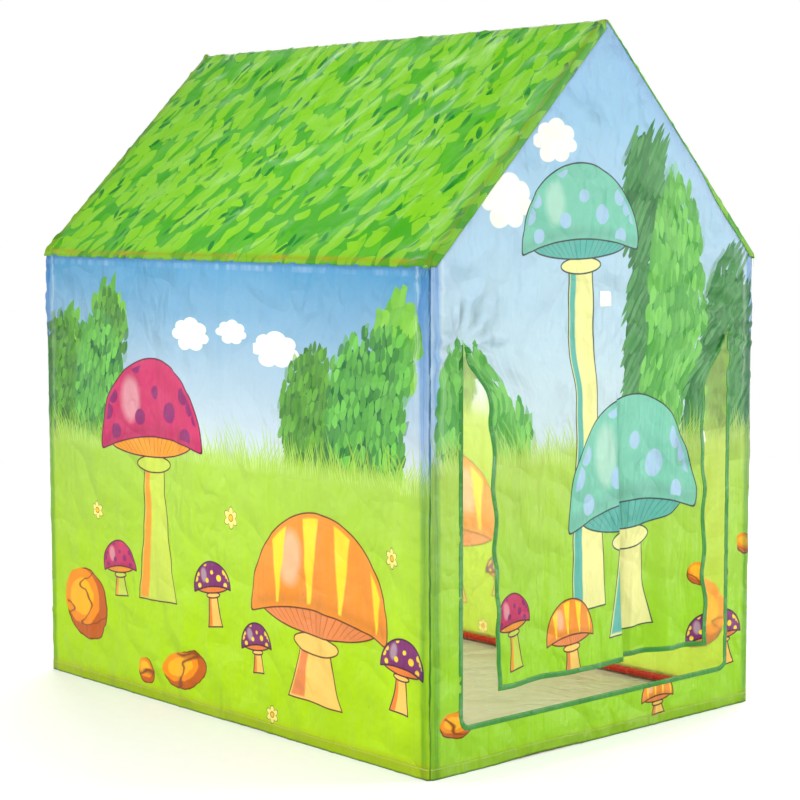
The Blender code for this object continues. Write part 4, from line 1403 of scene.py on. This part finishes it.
def door_path(offset):
    """Places and outward directions round the doorway's edge, so far out: down, along the sill and up."""
    side, foot, bend = door_half + offset, door_sill - offset, DOOR_ROUND + offset
    path = [(-side, z, -1, 0) for z in stations((door_top, door_sill + DOOR_ROUND), (SEAM_PITCH,))]
    for middle, start in ((-door_half + DOOR_ROUND, 1.0), (door_half - DOOR_ROUND, 1.5)):
        for turn in stations((start, start + 0.5), (ARC_STEP,))[1:]:
            way = (math.cos(turn * math.pi), math.sin(turn * math.pi))
            path.append((middle + bend * way[0], door_sill + DOOR_ROUND + bend * way[1], *way))
        if start == 1.0:
            path += [(x, foot, 0, -1) for x in stations((middle, door_half - DOOR_ROUND), (SEAM_PITCH,))[1:]]
    return path + [(side, z, 1, 0) for z in stations((door_sill + DOOR_ROUND, door_top), (SEAM_PITCH,))[1:]]


front_place = walls["front"][0]
half, sunk = BINDING_WIDTH / 2, Vector((0, CLOTH_THICKNESS / 2, 0))
thick = Vector((0, -BINDING_THICKNESS / 2, 0))
door_frames = run_along([
    (Vector(front_place(x, z)) + sunk, Vector((out_x, 0, out_z)) * half, thick, half)
    for x, z, out_x, out_z in door_path(half)
])
binding = tape("door_edge_tape", door_frames, green_tape, "front_wall_cloth")
dress(binding, "door_binding")


def flap_path(flap, offset):
    """Places across and down a flap and directions to its edge, so far in: its outer edge, then its hem."""
    foot = FLAP_DROP - offset
    outer, slit = flap_edges(flap, foot / FLAP_DROP)
    path = [(offset, down, -1, 0) for down in stations((TAPE_START, foot - TAPE_TURN), (SEAM_PITCH,))]
    path.append((offset, foot, -1, 1))
    end = abs(slit - outer)
    return path + [(across, foot, 0, 1) for across in stations((offset + TAPE_TURN, end), (SEAM_PITCH,))]


edgings = {}
for flap in DRAPE:
    steps = []
    for across, down, aside, below in flap_path(flap, half):
        middle, edge, level = (
            flap_point(flap, across + aside_step * half, down + down_step * half, CLOTH_THICKNESS / 2)
            for aside_step, down_step in ((0, 0), (aside, below), (below, -aside))
        )
        thick = (edge - middle).cross(level - middle).normalized() * BINDING_THICKNESS / 2
        steps.append((middle, edge - middle, thick * math.copysign(1, -thick.y), half))
    edgings[flap] = run_along(steps)
    edging = tape(f"{flap}_flap_edge_tape", edgings[flap], green_tape, f"{flap}_flap_cloth")
    swing_with(edging)
    dress(edging, f"flap_binding_{flap}", body=None)


# Closure and patch: a white hook-and-loop tab sewn behind the right flap's edge, its pad on the wall beside
# the doorway, and a small white woven patch sewn on the gable.
TAB_OUT, TAB_TO = -0.0055, 0.062
TAB_TOP, TAB_FOOT = 0.156, 0.206
TAB_THICKNESS, TAB_END, TAB_CORNER = 0.0012, 0.36, 0.006
TAB_FINE_TO, TAB_FINE = 0.001, 0.001
PATCH_WIDTH, PATCH_HEIGHT, PATCH_THICKNESS = 0.0245, 0.0230, 0.0008
PAD_PITCH, PATCH_PITCH = 0.003, 0.002


def white_picture(point):
    speck = point.noise(900.0, 3.0)
    worn = point.noise(40.0, 4.0)
    white = worn.between(dye(246, 246, 242), dye(228, 228, 220))
    return white.painted(dye(196, 198, 190), (speck - 0.5).at_least(0.0) * 1.5)


white_tape = cloth_material("white tape", white_picture, glow=0.08, sheen=0.5)
behind = (BINDING_THICKNESS + TAB_THICKNESS) / 2 + CLOTH_THICKNESS
thick = Vector((0, -TAB_THICKNESS / 2, 0))
frames = []
for across in stations((TAB_OUT, TAB_FINE_TO, TAB_TO), (TAB_FINE, SEAM_PITCH)):
    share = TAB_END + (1 - TAB_END) * smooth(across / TAB_CORNER + 0.5)
    foot = TAB_TOP + (TAB_FOOT - TAB_TOP) * share
    high, low = (flap_point("right", across, down, behind) for down in (TAB_TOP, foot))
    print_wide = Vector((0, (high - low).z / 2))
    frames.append(((high + low) / 2, (low - high) / 2, thick, Vector((across, 0)), print_wide))
tab = tape("hook_tab", frames, white_tape, "door_flap_right", own=True)
dress(tab, "closure_tab", "right_flap")


def white_piece(name, node, middles, height, thick):
    """A flat white piece on the front wall, along the middles of its section."""
    wide = UPRIGHT * height / 2
    frames = [(middle, wide, thick, Vector((middle.x, 0)), Vector((0, height / 2))) for middle in middles]
    dress(tape(name, frames, white_tape, "wall_front", own=True), node)


pad_low, pad_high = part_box("closure_pad")
pad_middle, pad_half = (pad_low + pad_high) / 2, (pad_high - pad_low) / 2
places = [Vector((x, pad_middle.y, pad_middle.z)) for x in stations((pad_low.x, pad_high.x), (PAD_PITCH,))]
white_piece("loop_pad", "closure_pad", places, 2 * pad_half.z, Vector((0, pad_half.y, 0)))

patch_middle = sum(corner.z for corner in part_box("gable_patch")) / 2
patch_half, thick = PATCH_WIDTH / 2, Vector((0, -PATCH_THICKNESS / 2, 0))
across = stations((-patch_half, patch_half), (PATCH_PITCH,))
places = [Vector(front_place(x, patch_middle)) + thick for x in across]
white_piece("white_patch", "gable_patch", places, PATCH_HEIGHT, thick)


# Stitching: lock-stitch in polyester thread along every tape, hem and strip, with bar tacks where the slits
# start, and a crossed square that holds the hook-and-loop tab.
STITCH_LONG, STITCH_WIDE, STITCH_PROUD, STITCH_OUT = 0.0025, 0.0005, 0.00035, 0.98
TAPE_ROW, HEM_ROW, STRIP_ROW = -0.62, 0.80, -0.92
TACKS, TACK_PITCH, TACK_LONG = 7, 0.0009, 0.0052
TACK_LIFT, TACK_ASIDE, TACK_LEAN = 0.0008, 0.001, 0.25
THREAD_ENDS = ((0.3, 7), (1.2, 4), (2.2, 5), (2.9, 3))
THREAD_STEP, THREAD_LONG = 0.0036, 0.0040
THREAD_START = (half_width + POST_ROUND + 0.0012, -half_length - 0.004, EAVE_HEIGHT + 0.002)
TAB_SQUARE = ((0.010, 0.159), (0.056, 0.159), (0.056, 0.203), (0.010, 0.203))
PATCH_INSET = 0.0018
OUTWARD = Vector((0, -1, 0))


def thread(name, colour):
    made, shader, point = new_material(name, Roughness=0.5, Sheen_Weight=0.3)
    feed(shader, Base_Color=point.noise(200.0).painted(colour, 0.8))
    return made


def stitch(bm, place, along, out, long=STITCH_LONG):
    """One stitch: a long bead of thread that lies on the cloth."""
    across = along.cross(out).normalized()
    axes = (along.normalized() * long / 2, across * STITCH_WIDE / 2, out.normalized() * STITCH_PROUD)
    laid = Matrix.Translation(place) @ Matrix(axes).transposed().to_4x4()
    bmesh.ops.create_icosphere(bm, subdivisions=1, radius=1, matrix=laid)


def stitch_tape(bm, frames, across):
    """Stitches along a tape, so many half widths from its middle, on its outer side."""
    for here, ahead in zip(frames, frames[1:]):
        middle, wide, thick = ((a + b) / 2 for a, b in zip(here[:3], ahead[:3]))
        stitch(bm, middle + wide * across + thick * STITCH_OUT, ahead[0] - here[0], thick)


def stitch_line(bm, surface, start, end):
    """Stitches in a straight line over a surface that is given by two numbers."""
    start, end = Vector(start), Vector(end)
    way = surface(*end) - surface(*start)
    count = max(1, round(way.length / SEAM_PITCH))
    for step in range(count):
        stitch(bm, surface(*start.lerp(end, (step + 0.5) / count)), way, OUTWARD)


def stitch_round(bm, surface, corners):
    for corner, after in zip(corners, corners[1:] + corners[:1]):
        stitch_line(bm, surface, corner, after)


def finish_stitches(bm, name, paint):
    for face in bm.faces:
        face.smooth = True
    made = linked(bm, name)
    made.data.materials.append(paint)
    return made


def tape_stitches(name, tapes, across, paint):
    """The stitches of one or more tapes as one piece."""
    bm = bmesh.new()
    for frames in tapes:
        stitch_tape(bm, frames, across)
    return finish_stitches(bm, name, paint)


def front_surface(x, z):
    return Vector(front_place(x, z)) + OUTWARD * STITCH_PROUD / 2


def right_flap_surface(across, down):
    return flap_point("right", across, down, -STITCH_PROUD / 2)


def patch_surface(x, z):
    return Vector(front_place(x, patch_middle)) * Vector((1, 1, 0)) + Vector((0, -PATCH_THICKNESS, z))


green_thread = thread("green thread", dye(112, 190, 92))
pale_thread = thread("pale thread", dye(196, 224, 150))
white_thread = thread("white thread", dye(236, 238, 232))
dark_thread = thread("dark thread", dye(14, 96, 84))

bm = bmesh.new()
stitch_tape(bm, door_frames, TAPE_ROW)
for side in (-1, 1):
    for step in range(TACKS):
        spot = front_surface(side * (door_half + TACK_ASIDE), door_top + TACK_LIFT + step * TACK_PITCH)
        stitch(bm, spot, Vector((1, 0, TACK_LEAN * (-1) ** step)), OUTWARD, TACK_LONG)
dress(finish_stitches(bm, "door_tape_stitches", green_thread))
dress(tape_stitches("hem_stitches", hems, HEM_ROW, pale_thread))
dress(tape_stitches("rake_strip_stitches", strips, STRIP_ROW, dark_thread))

bm = bmesh.new()
for side in (-1, 1):
    for turn, reach in THREAD_ENDS:
        spot = Vector((side * THREAD_START[0], *THREAD_START[1:]))
        for step in range(reach):
            bend = turn + 0.25 * step * math.sin(turn * 5)
            way = Vector((side * 0.15, math.cos(bend) * 0.8, -0.5 - math.sin(bend) * 0.5)).normalized()
            stitch(bm, spot + way * THREAD_STEP / 2, way, Vector((side, 0, 0)), THREAD_LONG)
            spot += way * THREAD_STEP
dress(finish_stitches(bm, "loose_threads", green_thread))

for flap, frames in edgings.items():
    flap_stitches = tape_stitches(f"{flap}_flap_stitches", [frames], TAPE_ROW, green_thread)
    swing_with(flap_stitches)
    dress(flap_stitches, body=None)

bm = bmesh.new()
stitch_round(bm, right_flap_surface, TAB_SQUARE)
for corner, opposite in (TAB_SQUARE[::2], TAB_SQUARE[1::2]):
    stitch_line(bm, right_flap_surface, corner, opposite)
dress(finish_stitches(bm, "tab_square_stitches", pale_thread), body="right_flap")

bm = bmesh.new()
half_wide, half_tall = PATCH_WIDTH / 2 - PATCH_INSET, PATCH_HEIGHT / 2 - PATCH_INSET
square = ((-1, -1), (1, -1), (1, 1), (-1, 1))
stitch_round(bm, patch_surface, [(x * half_wide, patch_middle + z * half_tall) for x, z in square])
dress(finish_stitches(bm, "patch_stitches", white_thread))


# Studio: a plain pale floor that fades into white, soft light from large lamps, and the photograph's view.
FLOOR_REACH, FLOOR_SIDES = 9.0, 64
FADE_START, FADE_END = 1.2, 3.2
AIR_STRENGTH = 0.55
INNER_PLACE, INNER_SIZE, INNER_POWER = (0, 0, 0.5), 0.2, 6.0
CAMERA_PLACE = Vector((-2.2365, -2.5103, 0.7885))
CAMERA_YAW, CAMERA_PITCH, CAMERA_ROLL = math.radians(42.063), math.radians(-5.404), math.radians(-0.114)
CAMERA_LENS = 93.34
LAMPS = (
    ("key", (-3.0, -1.6, 2.2), 1.2, 100.0),
    ("front", (2.8, -2.6, 1.1), 1.0, 78.0),
    ("left", (-2.8, 3.0, 1.3), 1.2, 36.0),
    ("right", (3.2, 0.6, 1.2), 1.6, 75.0),
    ("back", (1.8, 3.0, 2.6), 2.0, 75.0),
)


def fade_to_white(shader, tree, mask):
    """Shows pure white to the camera, mirrors and glass where the mask is 1."""
    rays = tree.nodes.new("ShaderNodeLightPath")
    seen = Field(rays.outputs["Is Camera Ray"]) + Field(rays.outputs["Is Glossy Ray"])
    seen = (seen + Field(rays.outputs["Is Transmission Ray"])).at_most(1.0)
    white = tree.nodes.new("ShaderNodeEmission")
    mixed = tree.nodes.new("ShaderNodeMixShader")
    feed(mixed, Fac=seen * mask if mask else seen)
    tree.links.new(shader.outputs[0], mixed.inputs[1])
    tree.links.new(white.outputs[0], mixed.inputs[2])
    return mixed


ground_paint, ground_shader, ground_point = new_material(
    "studio floor", Roughness=0.9, Specular_IOR_Level=0.0
)
grit = ground_point.noise(40.0, 4.0)
feed(ground_shader, Base_Color=grit.between(dye(248, 248, 248), dye(244, 244, 244)))
distance = ground_point.vector("LENGTH", out=1)
white_share = ((distance - FADE_START) / (FADE_END - FADE_START)).clamped()
ground_mix = fade_to_white(ground_shader, ground_paint.node_tree, white_share)
ground_paint.node_tree.links.new(
    ground_mix.outputs[0], ground_paint.node_tree.nodes["Material Output"].inputs["Surface"]
)
ground = bmesh.new()
bmesh.ops.create_circle(ground, cap_ends=True, radius=FLOOR_REACH, segments=FLOOR_SIDES)
ground = linked(ground, "studio_floor")
ground.data.materials.append(ground_paint)

world = bpy.data.worlds.new("studio")
world.use_nodes = True
bpy.context.scene.world = world
air = world.node_tree.nodes["Background"]
air.inputs["Color"].default_value = dye(255, 255, 255)
air.inputs["Strength"].default_value = AIR_STRENGTH
sky_mix = fade_to_white(air, world.node_tree, None)
world.node_tree.links.new(sky_mix.outputs[0], world.node_tree.nodes["World Output"].inputs["Surface"])

aim = Vector((0, 0, cad_box[1].z / 2))
inner_light = bpy.data.lights.new("inside", "POINT")
inner_light.shadow_soft_size, inner_light.energy = INNER_SIZE, INNER_POWER
inner = bpy.data.objects.new("inside", inner_light)
inner.location = INNER_PLACE
inner.visible_camera = inner.visible_glossy = False
bpy.context.scene.collection.objects.link(inner)
for lamp_name, lamp_place, lamp_size, lamp_power in LAMPS:
    lamp = bpy.data.lights.new(lamp_name, "AREA")
    lamp.size, lamp.energy = lamp_size, lamp_power
    holder = bpy.data.objects.new(lamp_name, lamp)
    holder.location = lamp_place
    holder.rotation_euler = (aim - Vector(lamp_place)).to_track_quat("-Z", "Y").to_euler()
    bpy.context.scene.collection.objects.link(holder)

camera = bpy.data.objects.new("camera", bpy.data.cameras.new("camera"))
camera.data.lens = CAMERA_LENS
level = Matrix.Rotation(-CAMERA_YAW, 4, "Z") @ Matrix.Rotation(math.radians(90) + CAMERA_PITCH, 4, "X")
camera.matrix_world = Matrix.Translation(CAMERA_PLACE) @ level @ Matrix.Rotation(CAMERA_ROLL, 4, "Z")
bpy.context.scene.collection.objects.link(camera)
bpy.context.scene.camera = camera
bpy.context.scene.view_settings.view_transform = "Standard"
